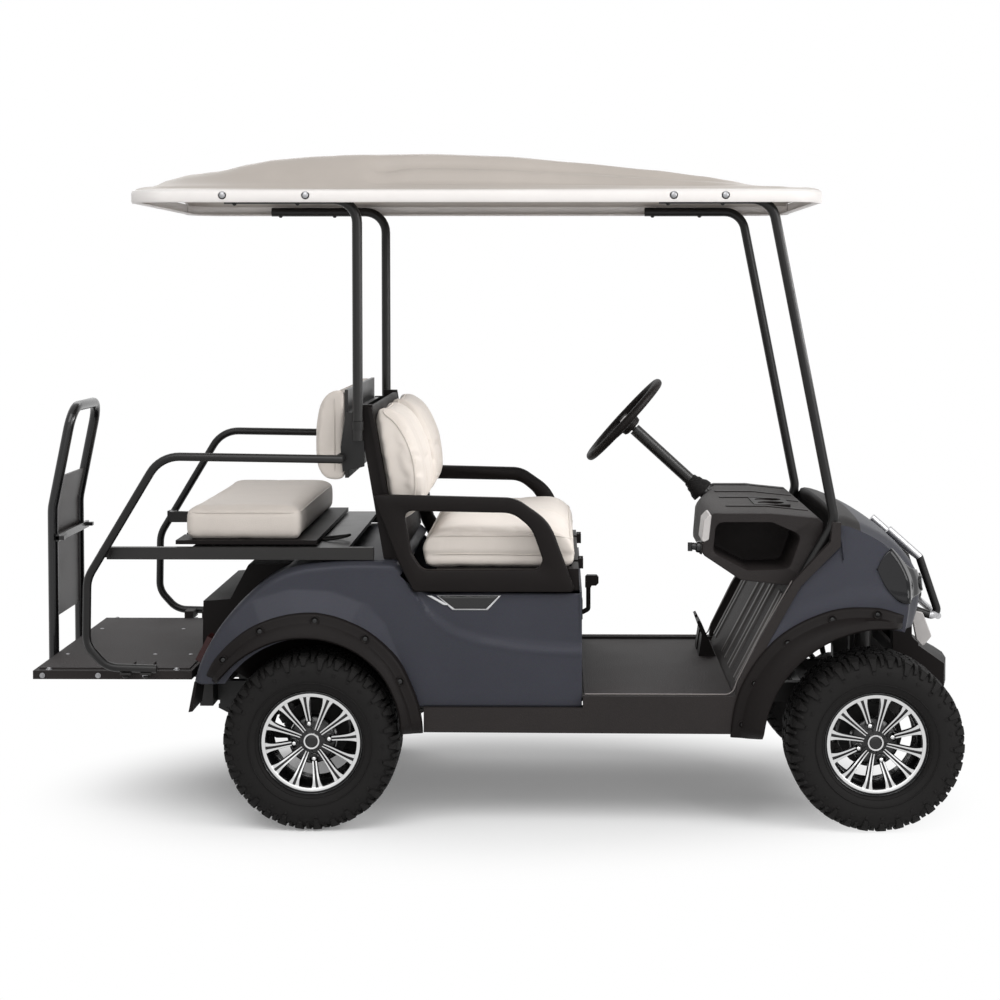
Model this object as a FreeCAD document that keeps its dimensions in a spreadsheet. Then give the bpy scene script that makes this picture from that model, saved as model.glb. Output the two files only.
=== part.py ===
import FreeCAD, Part
import os
import re
import Sketcher
from FreeCAD import Placement, Rotation, Vector

# Four-seat golf cart with a rear flip seat. Millimetres, +X forward, +Y to the left, +Z up.
# The origin is at floor level, halfway along the whole length and on the centre line.

SIZES = {
    # Whole vehicle
    "wheelbase": 1656, "front_overhang": 294, "rear_overhang": 866,
    "track_width": 960, "floor_height": 387, "body_half_width": 550, "running_gap": 0.3,
    # Wheels
    "tyre_diameter": 520, "tyre_width": 240, "rim_diameter": 305, "rim_width": 200, "rim_wall": 6,
    "hub_radius": 42, "hub_length": 86, "disc_thickness": 16, "disc_depth": 14, "window_width": 46,
    "window_length": 84, "shaft_radius": 15,
    "lug_height": 10, "lug_length": 32, "lug_width": 92, "lug_gap": 14, "shoulder_width": 26,
    # Chassis
    "rail_gap": 340, "rail_width": 40, "rail_height": 60, "floor_thickness": 8, "mat_thickness": 6,
    "axle_tube_radius": 35, "drum_radius": 95, "drum_width": 45, "kingpin_radius": 20,
    "kingpin_offset": 355, "kingpin_length": 90, "steer_arm_length": 100,
    "engine_length": 300, "engine_width": 300, "engine_height": 260,
    "leaf_width": 40, "leaf_thickness": 22, "shock_radius": 24,
    # Body shell
    "panel_wall": 6, "rocker_depth": 103, "rocker_width": 45, "rear_arch_radius": 300,
    "front_arch_radius": 335, "flare_width": 98, "flare_reach": 62, "flare_wall": 8,
    "inner_half_width": 345, "dash_half_width": 484, "dash_wall": 8, "dash_recess": 16, "dash_top": 544,
     "cup_radius": 41, "cup_depth": 66, "cup_spacing": 100,
    "lamp_width": 150, "lamp_height": 80, "lamp_rise": 275,
    # Roof and its struts
    "roof_width": 1120, "roof_edge_height": 1841, "roof_band": 37, "roof_wall": 8, "roof_crown": 130,
    "roof_front": 155, "roof_rear": 537, "roof_lip": 10, "strut_radius": 15, "strut_offset": 504,
    "strut_leg": 390, "front_strut_leg": 330, "strut_bend": 70,
    # Front seat
    "seat_width": 1000, "seat_pan_height": 764, "seat_pan_thickness": 12, "cushion_height": 104,
    "armrest_width": 35, "seat_base_height": 64, "seat_rise": 377, "seat_side_gap": 9,
    # Rear seat, its deck, rails and step
    "deck_half_width": 505, "deck_height": 826, "deck_thickness": 12, "deck_bar_height": 36, "flip_board_thickness": 12,
    "flip_gap": 5, "flip_board_length": 419, "rear_seat_width": 920, "rear_cushion_height": 98,
    "rear_cushion_length": 365, "rear_back_height": 277, "rear_back_thickness": 98,
    "rail_tube_radius": 12.5, "rail_offset": 558, "rail_bend": 60, "step_half_width": 500,
    "step_height": 457, "step_thickness": 25, "step_arm_height": 30, "grab_spacing": 350, "grab_radius": 16,
    "grab_panel_thickness": 8,
    # Steering
    "steering_offset": 300, "steering_wheel_diameter": 358, "steering_grip_radius": 14,
    "column_radius": 20, "column_slope": 42.4, "column_length": 420, "steering_setback": 712,
    "steering_rise": 769,
}

REAR = "(rear_overhang - wheelbase - front_overhang) / 2"
FRONT = "(rear_overhang + wheelbase - front_overhang) / 2"
TAIL = "0 - (rear_overhang + wheelbase + front_overhang) / 2"
AXLE = "tyre_diameter / 2"
SEAT_DECK = "seat_pan_height - seat_base_height"
TUBE_FLATS = 8
WHEEL_FLATS = 32
RING_FLATS = 28

document = FreeCAD.newDocument("GolfCart")
sheet = document.addObject("Spreadsheet::Sheet", "Sizes")
parts = {}


def fill_sheet():
    for row, (alias, value) in enumerate(SIZES.items(), start=1):
        sheet.set(f"A{row}", alias)
        sheet.set(f"B{row}", str(value))
        sheet.setAlias(f"B{row}", alias)
    document.recompute()


def bound(text):
    """The same formula with every size named as a cell of the sheet."""
    def cell(word):
        return "Sizes." + word.group() if word.group() in SIZES else word.group()
    return re.sub(r"[a-z][a-z_]*", cell, str(text))


def worth(text):
    return float(sheet.evalExpression(str(text)))


def tie(item, field, text):
    item.setExpression(field, bound(text))


def origin_plane(body, role):
    return next(plane for plane in body.Origin.OriginFeatures if plane.Role == role)


def new_body(label):
    body = document.addObject("PartDesign::Body", label)
    body.Label = label
    return body


def place(item, x="0", y="0", z="0"):
    for axis, text in zip("xyz", (x, y, z)):
        tie(item, f"Placement.Base.{axis}", text)


def at(station, points):
    """Points given from a station along the cart and from the floor's height."""
    return [(f"{station} + ({dx})", f"floor_height + ({dz})") for dx, dz in points]


def new_sketch(body, name, role, offset="0", lift="0", tilt=None):
    """A sketch on an origin plane, moved along it and tilted about its first axis if asked."""
    sketch = body.newObject("Sketcher::SketchObject", name)
    sketch.AttachmentSupport = [(origin_plane(body, role), "")]
    sketch.MapMode = "FlatFace"
    turn = Rotation(Vector(1, 0, 0), worth(tilt)) if tilt else Rotation()
    sketch.AttachmentOffset = Placement(Vector(0, worth(lift), worth(offset)), turn)
    tie(sketch, "AttachmentOffset.Base.z", offset)
    tie(sketch, "AttachmentOffset.Base.y", lift)
    if tilt:
        tie(sketch, "AttachmentOffset.Rotation.Angle", tilt)
    return sketch


def pin(sketch, kind, geometry, position, text):
    place_in_list = sketch.addConstraint(
        Sketcher.Constraint(kind, -1, 1, geometry, position, worth(text)))
    tie(sketch, f"Constraints[{place_in_list}]", text)


def outline(body, name, role, points, offset="0", closed=True, lift="0", tilt=None):
    """A sketch of straight lines through points whose coordinates are formulas."""
    sketch = new_sketch(body, name, role, offset, lift, tilt)
    draw_lines(sketch, points, closed)
    return sketch


def draw_lines(sketch, points, closed):
    corners = [Vector(worth(x), worth(y), 0) for x, y in points]
    count = len(points)
    lines = count if closed else count - 1
    sketch.addGeometry([Part.LineSegment(corners[i], corners[(i + 1) % count]) for i in range(lines)], False)
    joins = lines if closed else lines - 1
    sketch.addConstraint([Sketcher.Constraint("Coincident", i, 2, (i + 1) % lines, 1) for i in range(joins)])
    for i, (x, y) in enumerate(points):
        geometry, position = (i, 1) if i < lines else (lines - 1, 2)
        pin(sketch, "DistanceX", geometry, position, x)
        pin(sketch, "DistanceY", geometry, position, y)


def flats_round(x, y, radius, flats=TUBE_FLATS):
    """Corners of a round outline made of flats that lie at the radius."""
    corner_reach = f"({radius}) / cos({180 / flats})"
    turns = [(i + 0.5) * 360 / flats for i in range(flats)]
    return [(f"{x} + {corner_reach} * cos({turn})", f"{y} + {corner_reach} * sin({turn})") for turn in turns]


def circle(body, name, role, x, y, radius, offset="0", lift="0", tilt=None):
    sketch = new_sketch(body, name, role, offset, lift, tilt)
    sketch.addGeometry(Part.Circle(Vector(worth(x), worth(y), 0), Vector(0, 0, 1), worth(radius)), False)
    pin(sketch, "DistanceX", 0, 3, x)
    pin(sketch, "DistanceY", 0, 3, y)
    size = sketch.addConstraint(Sketcher.Constraint("Radius", 0, worth(radius)))
    tie(sketch, f"Constraints[{size}]", radius)
    return sketch


def extrude(body, name, sketch, length, cut=False):
    feature = body.newObject("PartDesign::Pocket" if cut else "PartDesign::Pad", name)
    feature.Profile = sketch
    feature.Length = worth(length)
    tie(feature, "Length", length)
    if cut:
        feature.Reversed = True
    sketch.Visibility = False
    return feature


def start_of(role, low, high):
    """Where a sketch stands so that its extrusion fills the space from low to high."""
    return f"0 - ({high})" if role == "XZ_Plane" else low


def prism(body, name, role, points, low, high, cut=False):
    sketch = outline(body, name + "_outline", role, points, start_of(role, low, high))
    return extrude(body, name, sketch, f"({high}) - ({low})", cut)


def bar(body, name, role, x, y, radius, low, high, cut=False, flats=0):
    """A round bar or bore, or one with flats where a shape has many round faces."""
    if flats:
        return prism(body, name, role, flats_round(x, y, radius, flats), low, high, cut)
    sketch = circle(body, name + "_circle", role, x, y, radius, start_of(role, low, high))
    return extrude(body, name, sketch, f"({high}) - ({low})", cut)


def slab(body, name, x_range, y_range, z_range, cut=False):
    (x_low, x_high), (y_low, y_high) = x_range, y_range
    corners = [(x_low, y_low), (x_high, y_low), (x_high, y_high), (x_low, y_high)]
    return prism(body, name, "XY_Plane", corners, z_range[0], z_range[1], cut)


def sides(low, high):
    """The same span across the cart on its left side and on its right side."""
    return {"left": (low, high), "right": (f"0 - ({high})", f"0 - ({low})")}


def round_corners(sketch, corners, radius):
    """Arcs of one radius in the corners between the lines of an open path."""
    lines = len(corners) - 1
    for i in range(lines - 1):
        a, b, c = [Vector(worth(x), worth(y), 0) for x, y in corners[i:i + 3]]
        arc = sketch.GeometryCount
        sketch.fillet(i, i + 1, (a + b) * 0.5, (b + c) * 0.5, worth(radius), True, True)
        size = sketch.addConstraint(Sketcher.Constraint("Radius", arc, worth(radius)))
        tie(sketch, f"Constraints[{size}]", radius)


def tube(body, name, role, corners, radius, bend, offset="0", lift="0", tilt=None):
    """A bent round tube along an open path in one plane."""
    path = outline(body, name + "_path", role, corners, offset, False, lift, tilt)
    round_corners(path, corners, bend)
    document.recompute()
    ring = body.newObject("Sketcher::SketchObject", name + "_ring")
    ring.AttachmentSupport = [(path, "Edge1")]
    ring.MapMode = "NormalToEdge"
    draw_lines(ring, flats_round("0", "0", radius), closed=True)
    pipe = body.newObject("PartDesign::AdditivePipe", name)
    pipe.Profile = ring
    pipe.Spine = (path, [])
    pipe.Transition = "Round corner"
    path.Visibility = False
    ring.Visibility = False
    return pipe


def loft(body, name, role, sections, cut=False):
    """A ruled skin through outlines that stand at growing distances from a plane."""
    sketches = [outline(body, f"{name}_{i}", role, points, offset)
                for i, (offset, points) in enumerate(sections)]
    feature = body.newObject("PartDesign::SubtractiveLoft" if cut else "PartDesign::AdditiveLoft", name)
    feature.Profile = sketches[0]
    feature.Sections = sketches[1:]
    feature.Ruled = True
    for sketch in sketches:
        sketch.Visibility = False
    return feature


def turned(body, name, points, angle="360"):
    """A solid of revolution about the body's Y axis: points are (along Y, radius)."""
    sketch = outline(body, name + "_outline", "YZ_Plane", points)
    feature = body.newObject("PartDesign::Revolution", name)
    feature.Profile = sketch
    feature.ReferenceAxis = (sketch, ["H_Axis"])
    feature.Angle = worth(angle)
    tie(feature, "Angle", angle)
    sketch.Visibility = False
    return feature


def keep(label, shape_holder):
    parts[label] = shape_holder
    return shape_holder


def together(label, items):
    compound = document.addObject("Part::Compound", label)
    compound.Label = label
    compound.Links = items
    return keep(label, compound)


# Chassis

def frame_rails():
    body = keep("frame_rails", new_body("frame_rails"))
    low = "floor_height - mat_thickness - floor_thickness - rail_height"
    high = "floor_height - mat_thickness - floor_thickness"
    for side, span in sides("rail_gap / 2", "rail_gap / 2 + rail_width").items():
        slab(body, f"rail_{side}", (f"{REAR} - 372", f"{FRONT} + 152"), span, (low, high))
    crosses = {"tail": f"{REAR} - 370", "rear": f"{REAR} + 130", "middle": f"{REAR} + 800",
               "front": f"{FRONT} - 170", "nose": f"{FRONT} + 100"}
    for name, x in crosses.items():
        slab(body, f"cross_{name}", (x, f"{x} + 40"), ("0 - rail_gap / 2", "rail_gap / 2"),
             (f"{low} + 10", f"{high} - 10"))
    for side, span in sides("rail_gap / 2 + rail_width", "rail_gap / 2 + rail_width + 90").items():
        slab(body, f"outrigger_{side}", (f"{REAR} - 372", f"{REAR} - 332"), span, (low, high))
    arm_low = "step_height - step_thickness - step_arm_height"
    for side, span in sides("rail_gap / 2 + rail_width + 50", "rail_gap / 2 + rail_width + 90").items():
        slab(body, f"step_riser_{side}", (f"{REAR} - 372", f"{REAR} - 332"), span,
             (high, "step_height - step_thickness"))
        slab(body, f"step_arm_{side}", (f"{TAIL} + 24", f"{REAR} - 332"), span,
             (arm_low, "step_height - step_thickness"))
    for side, span in sides("rail_gap / 2", "rail_gap / 2 + rail_width").items():
        slab(body, f"tower_{side}", (f"{FRONT} - 30", f"{FRONT} + 30"), span, (high, "floor_height + 205"))
    for side, span in sides("rail_gap / 2 + rail_width", "rail_gap / 2 + rail_width + 90").items():
        slab(body, f"tower_arm_{side}", (f"{FRONT} - 30", f"{FRONT} + 30"), span,
             ("floor_height + 185", "floor_height + 205"))


def floor_pan():
    body = keep("floor_pan", new_body("floor_pan"))
    plate_top = "floor_height - mat_thickness"
    slab(body, "plate", (f"{REAR} + 500", f"{FRONT} - 375"),
         ("rocker_width - body_half_width", "body_half_width - rocker_width"),
         (f"{plate_top} - floor_thickness", plate_top))
    rocker = (at(REAR, [(330, -100)]) + at(FRONT, [(-410, -103), (-375, -87), (-375, 8)])
              + at(REAR, [(798, 8), (798, -27), (330, -27)]))
    pillar = at(FRONT, [(-410, 8), (-375, 8), (-366, 45), (-310, 175), (-220, 335), (-105, 451),
                        (-105, 520), (-128, 520), (-135, 463), (-242, 348), (-335, 188), (-405, 45)])
    for side, span in sides("body_half_width - rocker_width", "body_half_width").items():
        prism(body, f"rocker_{side}", "XZ_Plane", rocker, *span)
    for side, span in sides("strut_offset + strut_radius", "body_half_width").items():
        prism(body, f"pillar_{side}", "XZ_Plane", pillar, *span)
    toe = at(FRONT, [(-410, -6), (-398, -6), (-226, 323), (-238, 323)])
    prism(body, "toe_board", "XZ_Plane", toe, "0 - dash_half_width", "dash_half_width")


def mats():
    floor = new_body("floor_mat")
    slab(floor, "floor_mat_pad", (f"{REAR} + 802", f"{FRONT} - 412"),
         ("rocker_width - body_half_width", "body_half_width - rocker_width"),
         ("floor_height - mat_thickness", "floor_height"))
    step = new_body("step_mat")
    slab(step, "step_mat_pad", (f"{TAIL} + 44", f"{REAR} - 372"),
         ("30 - step_half_width", "step_half_width - 30"), ("step_height", "step_height + 4"))
    together("mats", [floor, step])


def engine_block():
    body = keep("engine_block", new_body("engine_block"))
    slab(body, "block", (f"{REAR} + 174", f"{REAR} + 174 + engine_length"),
         ("0 - engine_width / 2", "engine_width / 2"),
         ("floor_height - 64", "floor_height - 64 + engine_height"))
    slab(body, "mount", (f"{REAR} + 130", f"{REAR} + 174"), ("0 - 60", "60"),
         ("floor_height - 24", "floor_height + 40"))


def rear_axle():
    body = keep("rear_axle", new_body("rear_axle"))
    drum_inner = "track_width / 2 - rim_width / 2 - 30"
    bar(body, "tube", "XZ_Plane", REAR, AXLE, "axle_tube_radius", f"0 - ({drum_inner})", drum_inner, flats=16)
    for side, span in sides(drum_inner, f"{drum_inner} + drum_width").items():
        bar(body, f"drum_{side}", "XZ_Plane", REAR, AXLE, "drum_radius", *span, flats=24)
    for side, span in sides(f"{drum_inner} + drum_width", "track_width / 2 + rim_width / 2 - disc_depth - 22").items():
        bar(body, f"shaft_{side}", "XZ_Plane", REAR, AXLE, "shaft_radius", *span)
    bar(body, "gearbox", "XZ_Plane", REAR, AXLE, "axle_tube_radius + 50", "0 - 70", "70", flats=20)


def springs():
    items = []
    leaf = [(f"{REAR} - 330", f"{AXLE} + 40"), (f"{REAR} - 150", f"{AXLE} - axle_tube_radius - 8"),
            (f"{REAR} - 60", f"{AXLE} - axle_tube_radius"), (f"{REAR} + 60", f"{AXLE} - axle_tube_radius"),
            (f"{REAR} + 150", f"{AXLE} - axle_tube_radius - 8"), (f"{REAR} + 330", f"{AXLE} + 40"),
            (f"{REAR} + 330", f"{AXLE} + 40 - leaf_thickness / 2"),
            (f"{REAR} + 150", f"{AXLE} - axle_tube_radius - leaf_thickness - 8"),
            (f"{REAR} - 150", f"{AXLE} - axle_tube_radius - leaf_thickness - 8"),
            (f"{REAR} - 330", f"{AXLE} + 40 - leaf_thickness / 2")]
    for side, span in sides("rail_gap / 2", "rail_gap / 2 + leaf_width").items():
        body = new_body(f"leaf_{side}")
        prism(body, f"leaf_pack_{side}", "XZ_Plane", leaf, *span)
        items.append(body)
        for end, dx in (("rear", "-326"), ("front", "286")):
            slab(body, f"hanger_{end}_{side}", (f"{REAR} + ({dx})", f"{REAR} + ({dx}) + 40"), span,
                 (f"{AXLE} + 30", "floor_height - mat_thickness - floor_thickness - rail_height"))
    for side, sign in (("left", 1), ("right", -1)):
        shock = new_body(f"shock_{side}")
        y = f"{sign} * (rail_gap / 2 + rail_width + 60)"
        bar(shock, f"damper_{side}", "XY_Plane", FRONT, y, "shock_radius", f"{AXLE} + 25", "floor_height + 185")
        items.append(shock)
    together("springs", items)


def front_axle():
    body = keep("front_axle", new_body("front_axle"))
    slab(body, "beam", (f"{FRONT} - 25", f"{FRONT} + 25"), ("32 - kingpin_offset", "kingpin_offset - 32"),
         (f"{AXLE} - 25", f"{AXLE} + 25"))
    for side, span in sides("kingpin_offset - 50", "kingpin_offset + kingpin_radius").items():
        for name, start, end in (("upper", "kingpin_length / 2", "kingpin_length / 2 + 16"),
                                 ("lower", "0 - kingpin_length / 2 - 16", "0 - kingpin_length / 2")):
            slab(body, f"ear_{name}_{side}", (f"{FRONT} - kingpin_radius", f"{FRONT} + kingpin_radius"), span,
                 (f"{AXLE} + {start}", f"{AXLE} + {end}"))
    for side, span in sides("kingpin_offset - 50", "kingpin_offset - 32").items():
        slab(body, f"yoke_{side}", (f"{FRONT} - 22", f"{FRONT} + 22"), span,
             (f"{AXLE} - kingpin_length / 2 - 16", f"{AXLE} + kingpin_length / 2 + 16"))
    for side, span in sides("rail_gap / 2", "rail_gap / 2 + rail_width").items():
        slab(body, f"saddle_{side}", (f"{FRONT} - 25", f"{FRONT} + 25"), span,
             (f"{AXLE} + 25", "floor_height - mat_thickness - floor_thickness - rail_height"))


def knuckle(side, sign):
    label = f"knuckle_{side}"
    body = keep(label, new_body(label))
    place(body, FRONT, f"{sign} * kingpin_offset", AXLE)
    bar(body, f"kingpin_{side}", "XY_Plane", "0", "0", "kingpin_radius",
        "running_gap - kingpin_length / 2", "kingpin_length / 2 - running_gap", flats=12)
    out = sides("kingpin_radius / 2", "track_width / 2 + rim_width / 2 - disc_depth - 22 - kingpin_offset")[side]
    bar(body, f"spindle_{side}", "XZ_Plane", "0", "0", "shaft_radius", *out)
    drum = sides("kingpin_radius + 14", "kingpin_radius + 14 + drum_width")[side]
    bar(body, f"drum_{side}", "XZ_Plane", "0", "0", "drum_radius", *drum, flats=24)
    arm = sides("0 - 12", "12")[side]
    slab(body, f"arm_{side}", ("0 - steer_arm_length", "0"), arm, ("0 - 40", "0 - 26"))


def wheel(name, station, sign):
    spin = "0" if sign > 0 else "180"
    tyre = keep(f"tyre_{name}", new_body(f"tyre_{name}"))
    rim = keep(f"rim_{name}", new_body(f"rim_{name}"))
    for body in (tyre, rim):
        place(body, station, f"{sign} * track_width / 2", AXLE)
        body.Placement.Rotation = Rotation(Vector(0, 0, 1), float(spin))
    half = "tyre_width / 2"
    tread = "tyre_diameter / 2 - lug_height"
    bead = "rim_diameter / 2"
    carcass = bar(tyre, f"tyre_{name}_carcass", "XZ_Plane", "0", "0", tread, f"0 - {half}", half, flats=WHEEL_FLATS)
    document.recompute()
    ends = [f"Face{i}" for i, face in enumerate(carcass.Shape.Faces, start=1)
            if abs(face.normalAt(0, 0).y) > 0.99]
    shoulder = tyre.newObject("PartDesign::Chamfer", f"tyre_{name}_shoulder")
    shoulder.Base = (carcass, ends)
    shoulder.Size = worth("shoulder_width")
    tie(shoulder, "Size", "shoulder_width")
    bar(tyre, f"tyre_{name}_bead", "XZ_Plane", "0", "0", bead, f"0 - {half}", half, cut=True, flats=WHEEL_FLATS)
    rows = (("outer", 0, ("lug_gap / 2", "lug_gap / 2 + lug_width")),
            ("inner", 360 / WHEEL_FLATS, ("0 - lug_gap / 2 - lug_width", "0 - lug_gap / 2")))
    for row, turn, span in rows:
        lugs(tyre, f"tyre_{name}_{row}", turn, span)
    well = "rim_width / 2"
    face = f"{well} - disc_depth"
    bar(rim, f"rim_{name}_barrel", "XZ_Plane", "0", "0", bead, f"0 - {well}", well, flats=WHEEL_FLATS)
    bar(rim, f"rim_{name}_back", "XZ_Plane", "0", "0", f"{bead} - rim_wall", f"0 - {well} - 1",
        f"{face} - disc_thickness", cut=True, flats=WHEEL_FLATS)
    bar(rim, f"rim_{name}_dish", "XZ_Plane", "0", "0", f"{bead} - rim_wall - 4", face, f"{well} + 1",
        cut=True, flats=WHEEL_FLATS)
    bar(rim, f"rim_{name}_hub", "XZ_Plane", "0", "0", "hub_radius", f"{face} - hub_length",
        f"{face} - disc_thickness + 1", flats=16)
    bar(rim, f"rim_{name}_bore", "XZ_Plane", "0", "0", "shaft_radius + running_gap", f"{face} - hub_length - 1",
        f"{face} + 1", cut=True)
    windows(rim, name, face)


def lugs(tyre, name, turn, span):
    """One row of tread blocks around the tyre, the first turned from the top by an angle."""
    foot = "tyre_diameter / 2 - lug_height - 1"
    crest = "tyre_diameter / 2"

    def across(radius, aside):
        return (f"({radius}) * sin({turn}) + ({aside}) * cos({turn})",
                f"({radius}) * cos({turn}) - ({aside}) * sin({turn})")

    shape = [across(foot, "0 - lug_length / 2 - 4"), across(crest, "0 - lug_length / 2"),
             across(crest, "lug_length / 2"), across(foot, "lug_length / 2 + 4")]
    block = prism(tyre, f"{name}_lug", "XZ_Plane", shape, *span)
    document.recompute()
    around(tyre, f"{name}_lugs", block, WHEEL_FLATS // 2)


def around(body, name, feature, count):
    """Copies of one feature around the body's Y axis."""
    pattern = body.newObject("PartDesign::PolarPattern", name)
    pattern.Originals = [feature]
    axis = next(line for line in body.Origin.OriginFeatures if line.Role == "Y_Axis")
    pattern.Axis = (axis, [""])
    pattern.Angle = 360
    pattern.Occurrences = count
    body.Tip = pattern
    return pattern


def windows(rim, name, face):
    inner = "hub_radius + 8"
    outer = "hub_radius + 8 + window_length"
    corners = [("0 - window_width / 6", inner), ("window_width / 6", inner), ("window_width / 2", outer),
               ("0 - window_width / 2", outer)]
    sketch = outline(rim, f"rim_{name}_window", "XZ_Plane", corners, f"0 - ({face}) - 5")
    document.recompute()
    pocket = rim.newObject("PartDesign::Pocket", f"rim_{name}_pocket")
    pocket.Profile = sketch
    pocket.Length = worth("disc_thickness + 10")
    tie(pocket, "Length", "disc_thickness + 10")
    pocket.Reversed = True
    around(rim, f"rim_{name}_spokes", pocket, 12)
    sketch.Visibility = False


# Body shell

def rear_body():
    body = keep("rear_body", new_body("rear_body"))
    seat_deck = f"{SEAT_DECK} - floor_height"
    hump = "deck_height - deck_bar_height - floor_height"
    shape = [(796, -27, 0, 0), (796, seat_deck, 0, -1), (356, seat_deck, 0, -1), (284, 370, 0.6, -0.8), (246, hump, 0, -1),
             (120, hump, 0, -1), (-54, f"{hump} - 15", 0.2, -1), (-177, 313, 0.6, -0.8), (-279, 198, 0.8, -0.6), (-353, 58, 1, -0.4),
             (-346, 46, 1, 0), (330, 46, 0, 0), (330, -27, 0, 0)]
    inner = [(796, -87, -1, 0), (796, seat_deck, -1, -1), (356, seat_deck, 0, -1), (284, 370, 0.6, -0.8),
             (246, hump, 0.4, -1), (120, hump, 0, -1), (-54, f"{hump} - 15", 0.2, -1), (-177, 313, 0.6, -0.8), (-279, 198, 0.8, -0.6),
             (-353, 58, 1, -0.4), (-346, -27, 1, 0), (330, -27, 0, 0), (330, -87, 0, 0)]

    def ring(points, inset):
        return [(f"{REAR} + ({x}) + ({inset}) * ({ux})", f"floor_height + ({z}) + ({inset}) * ({uz})")
                for x, z, ux, uz in points]

    outer = [("0", "26"), ("14", "9"), ("44", "0")]
    skin = [(f"{depth} - body_half_width", ring(shape, inset)) for depth, inset in outer]
    skin += [(f"body_half_width - {depth}", ring(shape, inset)) for depth, inset in reversed(outer)]
    loft(body, "rear_shell", "XZ_Plane", skin)
    hollow = [(f"{depth} + panel_wall - body_half_width", ring(inner, f"{inset} + panel_wall"))
              for depth, inset in outer]
    hollow += [(f"body_half_width - panel_wall - {depth}", ring(inner, f"{inset} + panel_wall"))
               for depth, inset in reversed(outer)]
    loft(body, "rear_hollow", "XZ_Plane", hollow, cut=True)
    bar(body, "rear_arch", "XZ_Plane", REAR, f"{AXLE} + 10", "rear_arch_radius",
        "0 - body_half_width - 20", "body_half_width + 20", cut=True)
    slab(body, "engine_opening", (f"{REAR} + 376", f"{REAR} + 766"), ("0 - seat_width / 2 + 60", "seat_width / 2 - 60"),
         (f"{SEAT_DECK} - 33", f"{SEAT_DECK} + 27"), cut=True)
    slab(body, "floor_opening", (f"{REAR} + 770", f"{REAR} + 830"),
         ("rocker_width - body_half_width", "body_half_width - rocker_width"),
         ("floor_height - 40", "floor_height - mat_thickness"), cut=True)
    slab(body, "tail_opening", (f"{REAR} - 400", f"{REAR} - 60"),
         ("0 - inner_half_width - running_gap", "inner_half_width + running_gap"),
         ("floor_height + 30", f"floor_height + {hump} + 20"), cut=True)
    for side, span in sides("seat_width / 2 + seat_side_gap", "seat_width / 2 + seat_side_gap + armrest_width + 26").items():
        slab(body, f"armrest_seat_{side}", (f"{REAR} + 230", f"{REAR} + 400"), span,
             (SEAT_DECK, f"{SEAT_DECK} + 137"), cut=True)


def tail_cover():
    """The black inner body that closes the tail between the two painted fenders."""
    body = keep("tail_cover", new_body("tail_cover"))
    outside = at(REAR, [("0 - 60 - running_gap", 372), (-215, 366), (-270, 262), (-352, 256), (-356, 75),
                        ("0 - 60 - running_gap", 75)])
    prism(body, "cover_shell", "XZ_Plane", outside, "0 - inner_half_width", "inner_half_width")
    inside = at(REAR, [(-40, "372 - panel_wall"), (-211, "366 - panel_wall"), (-266, "262 - panel_wall"),
                       ("panel_wall - 353", "256 - panel_wall"), ("panel_wall - 357", 60), (-40, 60)])
    prism(body, "cover_hollow", "XZ_Plane", inside, "panel_wall - inner_half_width", "inner_half_width - panel_wall",
          cut=True)


def front_cowl():
    body = keep("front_cowl", new_body("front_cowl"))
    left = [(-375, 8), (-366, 45), (-310, 175), (-220, 335), (-105, 451)]
    side = left + [(-105, 512), (-30, 490), (42, 442), (92, 356), (96, 286), (84, 200)]
    front = left + [(-105, 526), (-24, 503), (66, 450), (126, 366), (138, 292), (116, 200)]
    centre = left + [(-105, 545), (-20, 520), (76, 460), (150, 376), (168, 290), (150, 200)]
    outer = [("0", side), ("60", front), ("body_half_width", centre)]
    skin = [(f"{depth} - body_half_width", at(FRONT, points)) for depth, points in outer]
    skin += [(f"body_half_width - {depth}", at(FRONT, points)) for depth, points in reversed(outer[:-1])]
    loft(body, "cowl_shell", "XZ_Plane", skin)

    def inside(points):
        moves = [(-60, -90), (-60, 0), (-60, 0), (-60, 0), (-60, 0), (-60, -6), (-3, -7), (-5, -6), (-7, -3),
                 (-7, 0), (-6, -90)]
        return [(x + dx, z + dz) for (x, z), (dx, dz) in zip(points, moves)]

    hollow = [(f"{depth} + panel_wall - body_half_width", at(FRONT, inside(points))) for depth, points in outer[:-1]]
    hollow += [("0", at(FRONT, inside(centre)))]
    hollow += [(f"body_half_width - panel_wall - {depth}", at(FRONT, inside(points)))
               for depth, points in reversed(outer[:-1])]
    loft(body, "cowl_hollow", "XZ_Plane", hollow, cut=True)
    bar(body, "cowl_arch", "XZ_Plane", FRONT, AXLE, "front_arch_radius",
        "0 - body_half_width - 20", "body_half_width + 20", cut=True)
    for side_name, span in sides("body_half_width - 60 - lamp_width", "body_half_width - 60").items():
        slab(body, f"lamp_pocket_{side_name}", (f"{FRONT} + 90", f"{FRONT} + 200"), span,
             ("floor_height + lamp_rise", "floor_height + lamp_rise + lamp_height"), cut=True)


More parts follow.
